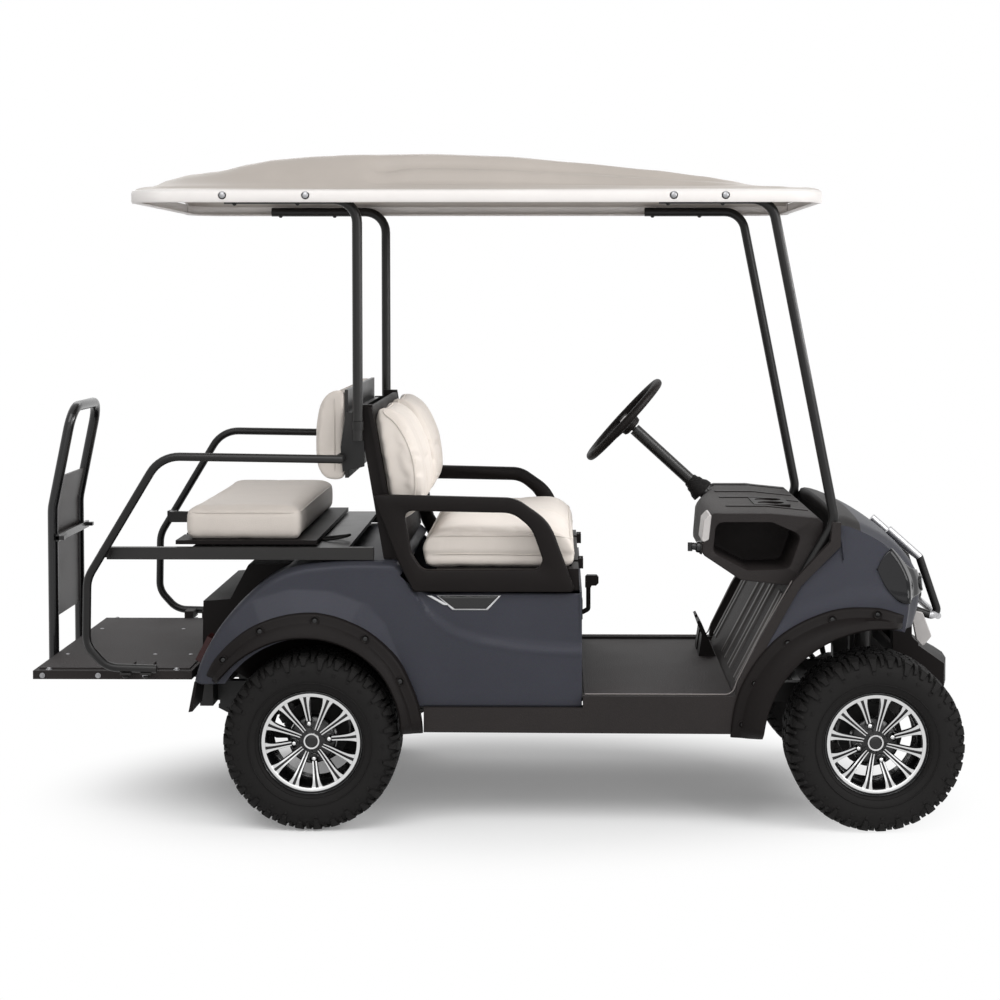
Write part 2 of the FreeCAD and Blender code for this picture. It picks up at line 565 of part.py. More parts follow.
def wheel_flares():
    items = []
    front = ("front", f"{FRONT}", AXLE, "front_arch_radius - 5", -93, 7, 10)
    rear = ("rear", f"{REAR} - 8", f"{AXLE} + 14", "rear_arch_radius - 8", -57, 91, 14)
    for end, x, z, radius, start, stop, pieces in (front, rear):
        angles = [start + (stop - start) * i / pieces for i in range(pieces + 1)]

        def sector(reach):
            arc = [(f"({radius} + {reach}) * sin({a})", f"({radius} + {reach}) * cos({a})") for a in angles]
            back = [(f"({radius}) * sin({a})", f"({radius}) * cos({a})") for a in reversed(angles)]
            return arc + back

        steps = (("body_half_width", "flare_width"), ("body_half_width + flare_wall", "flare_width"),
                 ("body_half_width + flare_reach", "flare_wall * 2"))
        for side, sign in (("left", "0 - "), ("right", "")):
            body = new_body(f"flare_{end}_{side}")
            loft(body, f"flare_{end}_{side}_band", "XZ_Plane",
                 [(f"{sign}({offset})", sector(reach)) for offset, reach in steps])
            place(body, x, "0", z)
            items.append(body)
    for side, span in sides("body_half_width - 170", "body_half_width - 6").items():
        flap = new_body(f"mudguard_{side}")
        prism(flap, f"mudguard_{side}_flap", "XZ_Plane",
              at(REAR, [(-346, 46), (-340, 46), (-352, -44), (-362, -44)]), *span)
        items.append(flap)
    together("wheel_flares", items)


def front_fascia():
    body = keep("front_fascia", new_body("front_fascia"))
    post = at(FRONT, [(104, 60), (104, 200), (150, 200), (150, 232), (162, 232), (162, 130), (182, 110), (182, 100),
                      (152, 100), (152, 60)])
    for side, span in sides("rail_gap / 2 - 14", "rail_gap / 2 + rail_width").items():
        prism(body, f"fascia_post_{side}", "XZ_Plane", post, *span)
    brace = at(FRONT, [(104, 60), (104, 100), (116, 100), (116, 60)])
    prism(body, "fascia_brace", "XZ_Plane", brace, "0 - rail_gap / 2", "rail_gap / 2")


def front_bumper():
    body = keep("front_bumper", new_body("front_bumper"))

    def section(set_back):
        reach = f"{FRONT} + front_overhang - {set_back}"
        return [(f"{FRONT} + 152", "floor_height - 74"), (f"{FRONT} + 152", "floor_height + 100"),
                (f"{FRONT} + 186", "floor_height + 100"), (reach, "floor_height + 46"), (reach, "floor_height - 24"),
                (f"{reach} - 30", "floor_height - 60")]

    half = "(rail_gap / 2 + rail_width)"
    skid = [(f"0 - {half}", section(32)), (f"0 - {half} / 2", section(8)), ("0", section(0)),
            (f"{half} / 2", section(8)), (half, section(32))]
    loft(body, "skid", "XZ_Plane", skid)


def brush_guard():
    body = keep("brush_guard", new_body("brush_guard"))
    path = at(FRONT, [(93, 458), (190, 372), (256, 180), (166.2, 211)])
    for side, y in (("left", "rail_gap / 2"), ("right", "0 - rail_gap / 2")):
        tube(body, f"guard_{side}", "XZ_Plane", path, "rail_tube_radius", "16", f"0 - ({y})")
    for name, dx, dz in (("top", 186, 373), ("low", 249, 188)):
        bar(body, f"guard_{name}", "XZ_Plane", f"{FRONT} + {dx}", f"floor_height + {dz}", "rail_tube_radius - 2",
            "0 - rail_gap / 2", "rail_gap / 2", flats=TUBE_FLATS)


def head_lamps():
    items = []
    for side, span in sides("body_half_width - 60 - lamp_width", "body_half_width - 60").items():
        body = new_body(f"head_lamp_{side}")
        prism(body, f"head_lamp_{side}_lens", "XZ_Plane",
              [(f"{FRONT} + 92", "floor_height + lamp_rise"), (f"{FRONT} + 92", "floor_height + lamp_rise + lamp_height"),
               (f"{FRONT} + 132", "floor_height + lamp_rise + lamp_height"), (f"{FRONT} + 138", "floor_height + lamp_rise")],
              *span)
        items.append(body)
    together("headlights", items)


def dash():
    body = keep("dash", new_body("dash"))
    side = at(FRONT, [(-508, 420), (-500, 518), (-478, 541), (-300, 541), (-148, 526), (-148, 448), (-226, 323),
                      (-391, 342)])
    prism(body, "dash_moulding", "XZ_Plane", side, "0 - dash_half_width", "dash_half_width")
    panel = at(FRONT, [(-486, 430), (-478, 508), (-300, 512), (-212, 470), (-250, 372), (-372, 366)])
    for end, span in sides("dash_half_width - dash_recess", "dash_half_width + 10").items():
        prism(body, f"end_recess_{end}", "XZ_Plane", panel, *span, cut=True)
    slab(body, "glove_bin", (f"{FRONT} - 520", f"{FRONT} - 240"),
         ("dash_recess + dash_wall - dash_half_width", "0 - cup_spacing * 2 - 80"),
         ("floor_height + 410", "floor_height + 505"), cut=True)
    slab(body, "cup_pocket", (f"{FRONT} - 330", f"{FRONT} - 220"), ("0 - cup_spacing * 2 - 60", "0 - 50"),
         ("floor_height + dash_top - cup_depth - 15", "floor_height + dash_top + 60"), cut=True)
    bore = circle(body, "column_bore_circle", "YZ_Plane", "steering_offset", "0", "column_radius",
                  f"{FRONT} - steering_setback", "floor_height + steering_rise", "column_slope")
    extrude(body, "column_bore", bore, "column_length", cut=True).Reversed = True


def cup_holders():
    body = keep("cup_holders", new_body("cup_holders"))
    slab(body, "cup_tray", (f"{FRONT} - 330", f"{FRONT} - 220"), ("0 - cup_spacing * 2 - 60", "0 - 50"),
         ("floor_height + dash_top - cup_depth - 15", "floor_height + dash_top"))
    for name, y in (("near", "0 - 105"), ("far", "0 - 105 - cup_spacing")):
        bar(body, f"cup_{name}", "XY_Plane", f"{FRONT} - 275", y, "cup_radius",
            "floor_height + dash_top - cup_depth", "floor_height + dash_top + 1", cut=True)


def steering_column():
    body = keep("steering_column", new_body("steering_column"))
    hub = (f"{FRONT} - steering_setback", "floor_height + steering_rise", "column_slope")
    tube_circle = circle(body, "column_circle", "YZ_Plane", "steering_offset", "0", "column_radius", *hub)
    extrude(body, "column_tube", tube_circle, "column_length")
    recess = circle(body, "column_recess_circle", "YZ_Plane", "steering_offset", "0", "column_radius + 10", *hub)
    extrude(body, "column_recess", recess, "48", cut=True)
    shaft = circle(body, "column_shaft_circle", "YZ_Plane", "steering_offset", "0", "9", *hub)
    extrude(body, "column_shaft", shaft, "60")
    tip = circle(body, "column_tip_circle", "YZ_Plane", "steering_offset", "0", "20", *hub)
    extrude(body, "column_tip", tip, "8", cut=True)


def steering_wheel():
    body = keep("steering_wheel", new_body("steering_wheel"))
    place(body, f"{FRONT} - steering_setback", "steering_offset", "floor_height + steering_rise")
    body.Placement.Rotation = Rotation(Vector(0, -1, 0), worth("90 - column_slope"))
    tie(body, "Placement.Rotation.Angle", "90 - column_slope")
    ring_radius = "steering_wheel_diameter / 2 - steering_grip_radius"
    grip = "steering_grip_radius"
    heights = [(f"0 - {grip}", "0.42"), (f"0 - {grip} * 0.42", "1"), (f"{grip} * 0.42", "1"), (grip, "0.42")]
    loft(body, "grip_outside", "XY_Plane",
         [(z, flats_round("0", "0", f"{ring_radius} + {grip} * {share}", RING_FLATS)) for z, share in heights])
    loft(body, "grip_inside", "XY_Plane",
         [(z, flats_round("0", "0", f"{ring_radius} - {grip} * {share}", RING_FLATS)) for z, share in heights],
         cut=True)
    bar(body, "hub", "XY_Plane", "0", "0", "34", "0 - 40", "0 - 8", flats=16)
    bar(body, "hub_cap", "XY_Plane", "0", "0", "27", "0 - 9", "4", flats=16)
    rim_end = f"{ring_radius} - 6"
    arm = [("26", "0 - 34"), ("26", "0 - 12"), (rim_end, "5"), (rim_end, "0 - 5")]
    away = [(f"0 - ({x})", z) for x, z in arm]
    prism(body, "spoke_left", "YZ_Plane", arm, "0 - 14", "14")
    prism(body, "spoke_right", "YZ_Plane", away, "0 - 14", "14")
    prism(body, "spoke_low", "XZ_Plane", away, "0 - 14", "14")
    bar(body, "hub_bore", "XY_Plane", "0", "0", "9 + running_gap", "0 - 42", "0 - 6", cut=True)


def pedals():
    items = []
    for name, y in (("brake", "170"), ("speed", "300")):
        body = new_body(f"pedal_{name}")
        prism(body, f"pedal_{name}_lever", "XZ_Plane",
              at(FRONT, [(-470, 0), (-414, 0), (-446, 75), (-468, 118), (-476, 114), (-460, 70)]), y, f"{y} + 75")
        items.append(body)
    together("pedals", items)


def shift_lever():
    body = keep("shift_lever", new_body("shift_lever"))
    slab(body, "shift_plate", (f"{REAR} + 796", f"{REAR} + 802"), ("0 - 130", "0 - 70"),
         ("floor_height + 168", "floor_height + 228"))
    tube(body, "shift_arm", "XZ_Plane", at(REAR, [(800, 186), (820, 196), (820, 280)]), "7", "10", "100")
    head = at(REAR, [(810, 266), (810, 298), (816, 304), (846, 304), (852, 298), (852, 280), (844, 272), (830, 272),
                     (828, 266)])
    prism(body, "shift_knob", "XZ_Plane", head, "0 - 115", "0 - 85")


# Roof and struts

def roof():
    body = keep("roof", new_body("roof"))
    tail = (f"{REAR} - roof_rear", 60, 0.30)
    stations = [tail, (f"{REAR} - roof_rear + 45", 14, 0.36), (f"{REAR} - roof_rear + 250", 0, 0.60),
                (f"{REAR} - 76", 0, 0.90), (f"{REAR} + 400", 0, 1.0), (f"{FRONT} - 660", 0, 0.80),
                (f"{FRONT} - roof_front - 195", 0, 0.42), (f"{FRONT} - roof_front - 40", 12, 0.32),
                (f"{FRONT} - roof_front", 55, 0.28)]

    def profile(pinch, rise):
        half = f"(roof_width / 2 - {pinch})"
        crown = f"((roof_crown + roof_band) * {rise})"
        shelf = f"(roof_band + 12 + {crown} * 0.2)"
        top = [(f"0 - {half}", "0"), (f"0 - {half}", "roof_band"), (f"60 - {half}", f"roof_band + 8"),
               (f"150 - {half}", shelf), (f"220 - {half}", f"{crown} + 13"), ("0", f"{crown} + 30"),
               (f"{half} - 220", f"{crown} + 13"), (f"{half} - 150", shelf), (f"{half} - 60", "roof_band + 8"),
               (half, "roof_band"), (half, "0")]
        right = [(f"{half} - roof_lip", "0"), (f"{half} - roof_lip", "roof_band - roof_lip"),
                 (f"{half} - 90", "roof_band - roof_lip"), (f"{half} - 150", f"{shelf} - roof_wall"),
                 (f"{half} - 220", f"{crown} + 13 - roof_wall")]
        left = [(f"0 - ({y})", z) for y, z in reversed(right)]
        return top, right + [("0", f"{crown} + 30 - roof_wall")] + left

    def lifted(points, more=""):
        return [(y, f"roof_edge_height + {z}{more}") for y, z in points]

    sections = []
    for x, pinch, rise in stations:
        top, under = profile(pinch, rise)
        sections.append((x, lifted(top + under)))
    loft(body, "roof_shell", "YZ_Plane", sections)
    for end, (x, pinch, rise), shift in (("rear", stations[0], ""), ("front", stations[-1], " - roof_lip")):
        under = profile(pinch, rise)[1]
        closing = lifted(under[:1]) + lifted(under[1:-1], " + 3") + lifted(under[-1:])
        prism(body, f"roof_end_{end}", "YZ_Plane", closing, f"{x}{shift}", f"{x}{shift} + roof_lip")


def struts():
    top = "roof_edge_height + roof_band - roof_lip - running_gap - strut_radius"
    rear = [(f"{REAR} + 135 - strut_leg", top), (f"{REAR} + 135", top), (f"{REAR} + 135", "floor_height + 756")]
    front = ([(f"{FRONT} - 307 - front_strut_leg", top), (f"{FRONT} - 307", top)]
             + at(FRONT, [(-117, 520), (-234, 320), (-356, 60), (-356, 8)]))
    for label, path in (("rear_struts", rear), ("front_struts", front)):
        items = []
        for side, offset in (("left", "0 - strut_offset"), ("right", "strut_offset")):
            body = new_body(f"{label}_{side}")
            tube(body, f"{label}_{side}_tube", "XZ_Plane", path, "strut_radius", "strut_bend", offset)
            items.append(body)
        together(label, items)


# Front seat

def seat_base():
    body = keep("seat_base", new_body("seat_base"))
    span = ("0 - seat_width / 2", "seat_width / 2")
    slab(body, "base_ring", (f"{REAR} + 366", f"{REAR} + 786"), span, (SEAT_DECK, "seat_pan_height"))
    slab(body, "base_opening", (f"{REAR} + 386", f"{REAR} + 766"),
         ("60 - seat_width / 2", "seat_width / 2 - 60"), (f"{SEAT_DECK} - 1", "seat_pan_height + 1"), cut=True)
    for side, place_y in sides("285", "345").items():
        slab(body, f"hinge_block_{side}", (f"{REAR} + 770", f"{REAR} + 801"), place_y,
             ("seat_pan_height - 20", "seat_pan_height + seat_pan_thickness - 1"))
        slab(body, f"pan_gap_{side}", (f"{REAR} + 760", f"{REAR} + 786"), place_y,
             ("seat_pan_height", "seat_pan_height + seat_pan_thickness + 6"), cut=True)
    for side, place_y in sides("293", "337").items():
        slab(body, f"hinge_gap_{side}", (f"{REAR} + 766", f"{REAR} + 802"), place_y,
             ("seat_pan_height - 8", "seat_pan_height + seat_pan_thickness + 6"), cut=True)
    for side, place_y in sides("285", "345").items():
        bar(body, f"hinge_pin_{side}", "XZ_Plane", f"{REAR} + 792", "seat_pan_height + 6.3", "3.5", *place_y)


def seat_pan():
    body = keep("seat_pan", new_body("seat_pan"))
    heights = ("seat_pan_height + running_gap", "seat_pan_height + running_gap + seat_pan_thickness")
    slab(body, "pan", (f"{REAR} + 334", f"{REAR} + 781"), ("5 - seat_width / 2", "seat_width / 2 - 5"), heights)
    for side, place_y in sides("299", "331").items():
        slab(body, f"pan_tab_{side}", (f"{REAR} + 778", f"{REAR} + 800"), place_y, heights)
        bar(body, f"pan_bore_{side}", "XZ_Plane", f"{REAR} + 792", "seat_pan_height + 6.3", "3.8",
            *sides("290", "340")[side], cut=True)


def seat_cushion():
    body = keep("seat_cushion", new_body("seat_cushion"))
    low = "seat_pan_height + running_gap + seat_pan_thickness"
    shape = [(f"{REAR} + 326", low), (f"{REAR} + 312", f"{low} + 44"), (f"{REAR} + 330", f"{low} + cushion_height - 24"),
             (f"{REAR} + 372", f"{low} + cushion_height - 4"), (f"{REAR} + 560", f"{low} + cushion_height - 8"),
             (f"{REAR} + 700", f"{low} + cushion_height"), (f"{REAR} + 766", f"{low} + cushion_height - 22"),
             (f"{REAR} + 781", f"{low} + cushion_height - 60"), (f"{REAR} + 770", low)]
    prism(body, "cushion", "XZ_Plane", shape, "20 - seat_width / 2", "seat_width / 2 - 20")


def seat_back():
    frame = keep("seat_back_frame", new_body("seat_back_frame"))
    panel = at(REAR, [(255, 403), (243, 403), (163, 853), (175, 853)])
    upright = at(REAR, [(255, 403), (208, 403), (130, 860), (175, 860)])
    prism(frame, "back_panel", "XZ_Plane", panel, "60 - body_half_width", "body_half_width - 60")
    for side, span in sides("body_half_width - 105", "body_half_width - 73").items():
        prism(frame, f"back_upright_{side}", "XZ_Plane", upright, *span)
    items = []
    lobe = [(236.7, 510), (264, 512), (318, 556), (328, 600), (302, 741), (264, 824), (214, 857), (176.9, 852)]
    for side, span in sides("40", "seat_width / 2 - 2").items():
        body = new_body(f"backrest_{side}")
        prism(body, f"backrest_{side}_lobe", "XZ_Plane", by_seat(lobe, "0.178"), *span)
        items.append(body)
    together("backrest_cushions", items)


def by_seat(points, lean="0"):
    """Points that rise and fall with the front seat, along a back that leans by a share of its height."""
    lower = "(floor_height + seat_rise - seat_pan_height)"
    return [(f"{REAR} + {x} + {lower} * {lean}", f"seat_pan_height - seat_rise + {z}") for x, z in points]


def armrests():
    items = []
    outer = by_seat([(187, 592), (612, 586), (685, 524), (775, 313), (300, 313), (254, 407)])
    opening = by_seat([(270, 552), (600, 545), (641, 501), (688, 378), (322, 378), (292, 428)])
    for side, span in sides("seat_width / 2 + seat_side_gap", "seat_width / 2 + seat_side_gap + armrest_width").items():
        body = new_body(f"armrest_{side}")
        prism(body, f"armrest_{side}_loop", "XZ_Plane", outer, *span)
        prism(body, f"armrest_{side}_opening", "XZ_Plane", opening, *span, cut=True)
        items.append(body)
    together("armrests", items)


# Rear seat

def rear_seat_frame():
    body = keep("rear_seat_frame", new_body("rear_seat_frame"))
    plate = ("deck_height - deck_thickness", "deck_height")
    half = ("0 - deck_half_width", "deck_half_width")
    slab(body, "deck", (f"{REAR} - 360", f"{REAR} + 105"), half, plate)
    for side, span in sides("deck_half_width - 25", "deck_half_width").items():
        slab(body, f"deck_bar_{side}", (f"{REAR} - 610", f"{REAR} + 180"), span,
             ("deck_height - deck_bar_height", "deck_height"))
    for side, span in sides("deck_half_width", "rail_offset - rail_tube_radius").items():
        slab(body, f"deck_clamp_{side}", (f"{REAR} - 622", f"{REAR} - 596"), span,
             ("deck_height - 25", "deck_height"))
    for side, span in sides("290", "310").items():
        slab(body, f"flip_lug_{side}", (f"{REAR} - 400", f"{REAR} - 355"), span,
             ("deck_height - deck_thickness", "deck_height + flip_gap + 14"))
    for side, span in sides("270", "330").items():
        bar(body, f"flip_pin_{side}", "XZ_Plane", f"{REAR} - 391", "deck_height + flip_gap + flip_board_thickness / 2",
            "3.5", *span)


def flip_seat():
    board = keep("flip_board", new_body("flip_board"))
    heights = ("deck_height + flip_gap", "deck_height + flip_gap + flip_board_thickness")
    slab(board, "board", (f"{REAR} - 412", f"{REAR} - 412 + flip_board_length"),
         ("0 - rear_seat_width / 2 - 10", "rear_seat_width / 2 + 10"), heights)
    for side, span in sides("284", "316").items():
        slab(board, f"board_slot_{side}", (f"{REAR} - 420", f"{REAR} - 350"), span,
             ("deck_height", "deck_height + 60"), cut=True)
    for side, span in sides("269", "331").items():
        bar(board, f"board_bore_{side}", "XZ_Plane", f"{REAR} - 391",
            "deck_height + flip_gap + flip_board_thickness / 2", "3.8", *span, cut=True)
    cushion = keep("rear_cushion", new_body("rear_cushion"))
    start = f"{REAR} - 397"
    end = f"{start} + rear_cushion_length"
    top = f"{heights[1]} + rear_cushion_height"
    block = [(start, heights[1]), (start, f"{top} - 18"), (f"{start} + 16", top), (f"{end} - 16", top),
             (end, f"{top} - 18"), (end, heights[1])]
    prism(cushion, "rear_cushion_block", "XZ_Plane", block, "0 - rear_seat_width / 2", "rear_seat_width / 2")
    for side, span in sides("284", "316").items():
        slab(cushion, f"lug_recess_{side}", (f"{REAR} - 405", f"{REAR} - 350"), span,
             (f"{heights[1]} - 1", f"{heights[1]} + 24"), cut=True)


def rear_back():
    frame = keep("rear_back_frame", new_body("rear_back_frame"))
    slab(frame, "back_plate", (f"{REAR} + 90", f"{REAR} + 100"), ("110 - body_half_width", "body_half_width - 110"),
         ("floor_height + 640", "floor_height + 640 + rear_back_height - 14"))
    for name, dz in (("low", 690), ("high", 810)):
        slab(frame, f"back_bar_{name}", (f"{REAR} + 100", f"{REAR} + 114"),
             ("73 - body_half_width", "body_half_width - 73"), (f"floor_height + {dz}", f"floor_height + {dz + 25}"))
    for side, span in sides("body_half_width - 73", "strut_offset - strut_radius").items():
        prism(frame, f"back_bracket_{side}", "XZ_Plane",
              at(REAR, [(88, 662), (82, 735), (98, 838), (142, 838), (152, 735), (152, 678)]), *span)
    for side, span in sides("strut_offset - strut_radius", "rail_offset - rail_tube_radius").items():
        bar(frame, f"rail_boss_{side}", "XZ_Plane", f"{REAR} + 84", "floor_height + 705", "14", *span)
    cushion = keep("rear_back_cushion", new_body("rear_back_cushion"))
    slab(cushion, "rear_back_block", (f"{REAR} + 90 - running_gap - rear_back_thickness", f"{REAR} + 90 - running_gap"),
         ("0 - rear_seat_width / 2", "rear_seat_width / 2"), ("floor_height + 629", "floor_height + 629 + rear_back_height"))


def hip_rails():
    items = []
    path = at(REAR, [(-454, 87), (-600, 91), (-660, 158), (-656, 353), (-439, 713), (96, 705)])
    for side, offset in (("left", "0 - rail_offset"), ("right", "rail_offset")):
        body = new_body(f"hip_rail_{side}")
        tube(body, f"hip_rail_{side}_tube", "XZ_Plane", path, "rail_tube_radius", "rail_bend", offset)
        items.append(body)
    together("hip_rails", items)


def foot_platform():
    body = keep("foot_platform", new_body("foot_platform"))
    slab(body, "step_plate", (f"{TAIL} + grab_radius * 2", f"{REAR} - 361"), ("0 - step_half_width", "step_half_width"),
         ("step_height - step_thickness", "step_height"))
    for name, dx in (("front", -500), ("rear", -560)):
        for side, span in sides("step_half_width - 22", "rail_offset - rail_tube_radius").items():
            slab(body, f"rail_clamp_{name}_{side}", (f"{REAR} + ({dx})", f"{REAR} + ({dx}) + 30"), span,
                 ("step_height", "step_height + 26"))


def grab_bar():
    body = keep("grab_bar", new_body("grab_bar"))
    x = f"{TAIL} + grab_radius"
    bend_height = "step_height + 450"
    for side, y in (("left", "grab_spacing / 2"), ("right", "0 - grab_spacing / 2")):
        bar(body, f"grab_upright_{side}", "XY_Plane", x, y, "grab_radius", "step_height - step_thickness", bend_height)
    loop = [("0 - grab_spacing / 2", "0 - 4"), ("0 - grab_spacing / 2", "322"), ("grab_spacing / 2", "322"),
            ("grab_spacing / 2", "0 - 4")]
    tube(body, "grab_loop", "YZ_Plane", loop, "grab_radius", "70", x, bend_height, "11.7")
    inside = ("grab_radius - grab_spacing / 2", "grab_spacing / 2 - grab_radius")
    panel = [(f"{x} - grab_panel_thickness / 2", "step_height + 107"), (f"{x} + grab_panel_thickness / 2", "step_height + 107"),
             (f"{x} + grab_panel_thickness / 2", bend_height), (f"{x} + 24", "step_height + 550"),
             (f"{x} + 16", "step_height + 550"), (f"{x} - grab_panel_thickness / 2", bend_height)]
    prism(body, "grab_panel", "XZ_Plane", panel, *inside)
    bar(body, "grab_cross", "XZ_Plane", f"{x} + grab_radius + 8", "step_height + 360", "9",
        "0 - grab_spacing / 2 - 30", "grab_spacing / 2 + 30")
    for side, span in sides("grab_spacing / 2 + 12", "grab_spacing / 2 + 30").items():
        slab(body, f"grab_hook_{side}", (f"{x} + grab_radius", f"{x} + grab_radius + 26"), span,
             ("step_height + 354", "step_height + 366"))


def tail_lamps():
    items = []
    for side, span in sides("body_half_width - 130", "body_half_width - 60").items():
        body = new_body(f"tail_lamp_{side}")
        prism(body, f"tail_lamp_{side}_lens", "XZ_Plane",
              at(REAR, [(-297.5, 163), (-334.5, 93), (-352.2, 102.4), (-315.2, 172.4)]), *span)
        items.append(body)
    together("tail_lamps", items)


fill_sheet()
frame_rails()
floor_pan()
mats()
engine_block()
rear_axle()
springs()
front_axle()
for side, sign in (("left", 1), ("right", -1)):
    knuckle(side, sign)
    wheel(f"front_{side}", FRONT, sign)
    wheel(f"rear_{side}", REAR, sign)
rear_body()
tail_cover()
front_cowl()
wheel_flares()
front_fascia()
front_bumper()
brush_guard()
head_lamps()
dash()
cup_holders()
steering_column()
steering_wheel()
pedals()
shift_lever()
roof()
struts()
seat_base()
seat_pan()
seat_cushion()
seat_back()
armrests()
rear_seat_frame()
flip_seat()
rear_back()
hip_rails()
foot_platform()
grab_bar()
tail_lamps()
document.recompute()

for item in document.Objects:
    if "Invalid" in item.State or "Error" in item.State:
        raise RuntimeError(f"{item.Label}: {item.State}")
os.makedirs("parts", exist_ok=True)
for label, item in parts.items():
    shape = item.Shape
    if shape.isNull() or not shape.isValid():
        raise RuntimeError(f"{label} has no valid shape")
    shape.exportStep(f"parts/{label}.step")
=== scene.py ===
"""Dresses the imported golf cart: wheels, body, seats, tubes, roof, light and camera."""
import math

import bmesh
import bpy
from mathutils import Matrix, Vector
from mathutils.bvhtree import BVHTree


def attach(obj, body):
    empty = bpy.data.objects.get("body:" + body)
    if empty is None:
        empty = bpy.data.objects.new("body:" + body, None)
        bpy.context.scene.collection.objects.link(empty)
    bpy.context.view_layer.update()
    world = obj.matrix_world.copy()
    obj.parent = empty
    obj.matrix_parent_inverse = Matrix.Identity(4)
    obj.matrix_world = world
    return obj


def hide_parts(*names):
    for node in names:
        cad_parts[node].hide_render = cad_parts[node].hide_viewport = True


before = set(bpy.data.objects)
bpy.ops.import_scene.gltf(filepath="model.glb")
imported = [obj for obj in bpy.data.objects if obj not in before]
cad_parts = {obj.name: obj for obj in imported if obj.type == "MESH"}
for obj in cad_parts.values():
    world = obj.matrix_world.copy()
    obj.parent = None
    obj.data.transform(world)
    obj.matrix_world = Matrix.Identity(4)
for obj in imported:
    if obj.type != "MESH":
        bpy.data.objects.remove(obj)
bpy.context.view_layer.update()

# Stations in metres: rear axle, front axle, tail, floor height, axle height, half width of the body, track
REAR, FRONT, TAIL = -0.542, 1.114, -1.408
FLOOR, AXLE, HALF, TRACK = 0.387, 0.26, 0.55, 0.96
ORIGIN, ACROSS = (0, 0, 0), (0, 1, 0)
WHITE = (1, 1, 1, 1)


# Camera, light and backdrop

def look():
    """The camera fitted to the photo."""
    lens = bpy.data.cameras.new("view")
    lens.sensor_width = 36
    lens.lens = 74.39
    lens.shift_x, lens.shift_y = -0.03, -0.12
    camera = bpy.data.objects.new("view", lens)
    bpy.context.collection.objects.link(camera)
    camera.location = (0.1855, -6.5704, 1.5828)
    camera.rotation_euler = (math.radians(90 - 2.462), 0, math.radians(0.806))
    bpy.context.scene.camera = camera
    bpy.context.scene.view_settings.view_transform = "Standard"


def lamp(name, place, aim, size, power, spread=180):
    """A soft rectangular light that looks at a point."""
    light = bpy.data.lights.new(name, "AREA")
    light.shape = "RECTANGLE"
    light.size, light.size_y = size
    light.energy = power
    light.spread = math.radians(spread)
    item = bpy.data.objects.new(name, light)
    bpy.context.collection.objects.link(item)
    item.location = place
    item.rotation_euler = (Vector(aim) - Vector(place)).to_track_quat("-Z", "Y").to_euler()


class Graph:
    """The shader nodes of a world or a material."""

    def __init__(self, owner):
        owner.use_nodes = True
        self.tree = owner.node_tree

    def fill(self, node, inputs):
        """Sets each input to a value, or joins it to another node's output; gives the node's outputs."""
        for key, given in inputs.items():
            if isinstance(given, bpy.types.NodeSocket):
                self.tree.links.new(given, node.inputs[key])
            else:
                node.inputs[key].default_value = given
        return node.outputs

    def add(self, kind, inputs, **settings):
        node = self.tree.nodes.new("ShaderNode" + kind)
        for name, choice in settings.items():
            setattr(node, name, choice)
        return self.fill(node, inputs)

    def present(self, name, inputs):
        """Fills a node that the tree starts with."""
        return self.fill(self.tree.nodes[name], inputs)


def seen_directly(graph):
    """One where the camera sees a thing straight, mirrored or through glass, nought elsewhere."""
    path = graph.add("LightPath", {})
    total = path["Is Camera Ray"]
    for ray in ("Is Glossy Ray", "Is Transmission Ray"):
        total = graph.add("Math", {0: total, 1: path[ray]}, operation="MAXIMUM")[0]
    return total


def backdrop():
    """A white world that lights the cart less brightly than it looks."""
    world = bpy.data.worlds.new("studio")
    bpy.context.scene.world = world
    graph = Graph(world)
    dim = graph.present("Background", {"Color": WHITE, "Strength": 0.4})
    bright = graph.add("Background", {"Color": WHITE, "Strength": 1.0})
    mix = graph.add("MixShader", {0: seen_directly(graph), 1: dim[0], 2: bright[0]})
    graph.present("World Output", {0: mix[0]})


def paper():
    """The floor's finish: it takes the shadow and turns to the backdrop's white away from the cart."""
    made = bpy.data.materials.new("paper")
    graph = Graph(made)
    seen = seen_directly(graph)
    shader = graph.present("Principled BSDF", {"Base Color": (0.88, 0.88, 0.88, 1), "Roughness": 0.9,
                                               "Specular IOR Level": 0.1})
    lift = graph.add("Math", {0: seen, 1: 0.18}, operation="MULTIPLY")
    glow = graph.add("Emission", {"Color": WHITE, "Strength": lift[0]})
    both = graph.add("AddShader", {0: shader[0], 1: glow[0]})
    place = graph.add("TexCoord", {})
    squeeze = graph.add("Mapping", {"Location": (0, 0.06, 0), "Scale": (1 / 1.55, 1 / 1.1, 1),
                                    "Vector": place["Object"]})
    away = graph.add("VectorMath", {0: squeeze["Vector"]}, operation="LENGTH")
    fade = graph.add("MapRange", {"From Min": 0.52, "From Max": 1.0, "Value": away["Value"]},
                     interpolation_type="SMOOTHSTEP")
    share = graph.add("Math", {0: fade["Result"], 1: seen}, operation="MULTIPLY")
    white = graph.add("Emission", {"Color": WHITE, "Strength": 1.0})
    last = graph.add("MixShader", {0: share[0], 1: both[0], 2: white[0]})
    graph.present("Material Output", {0: last[0]})
    return made


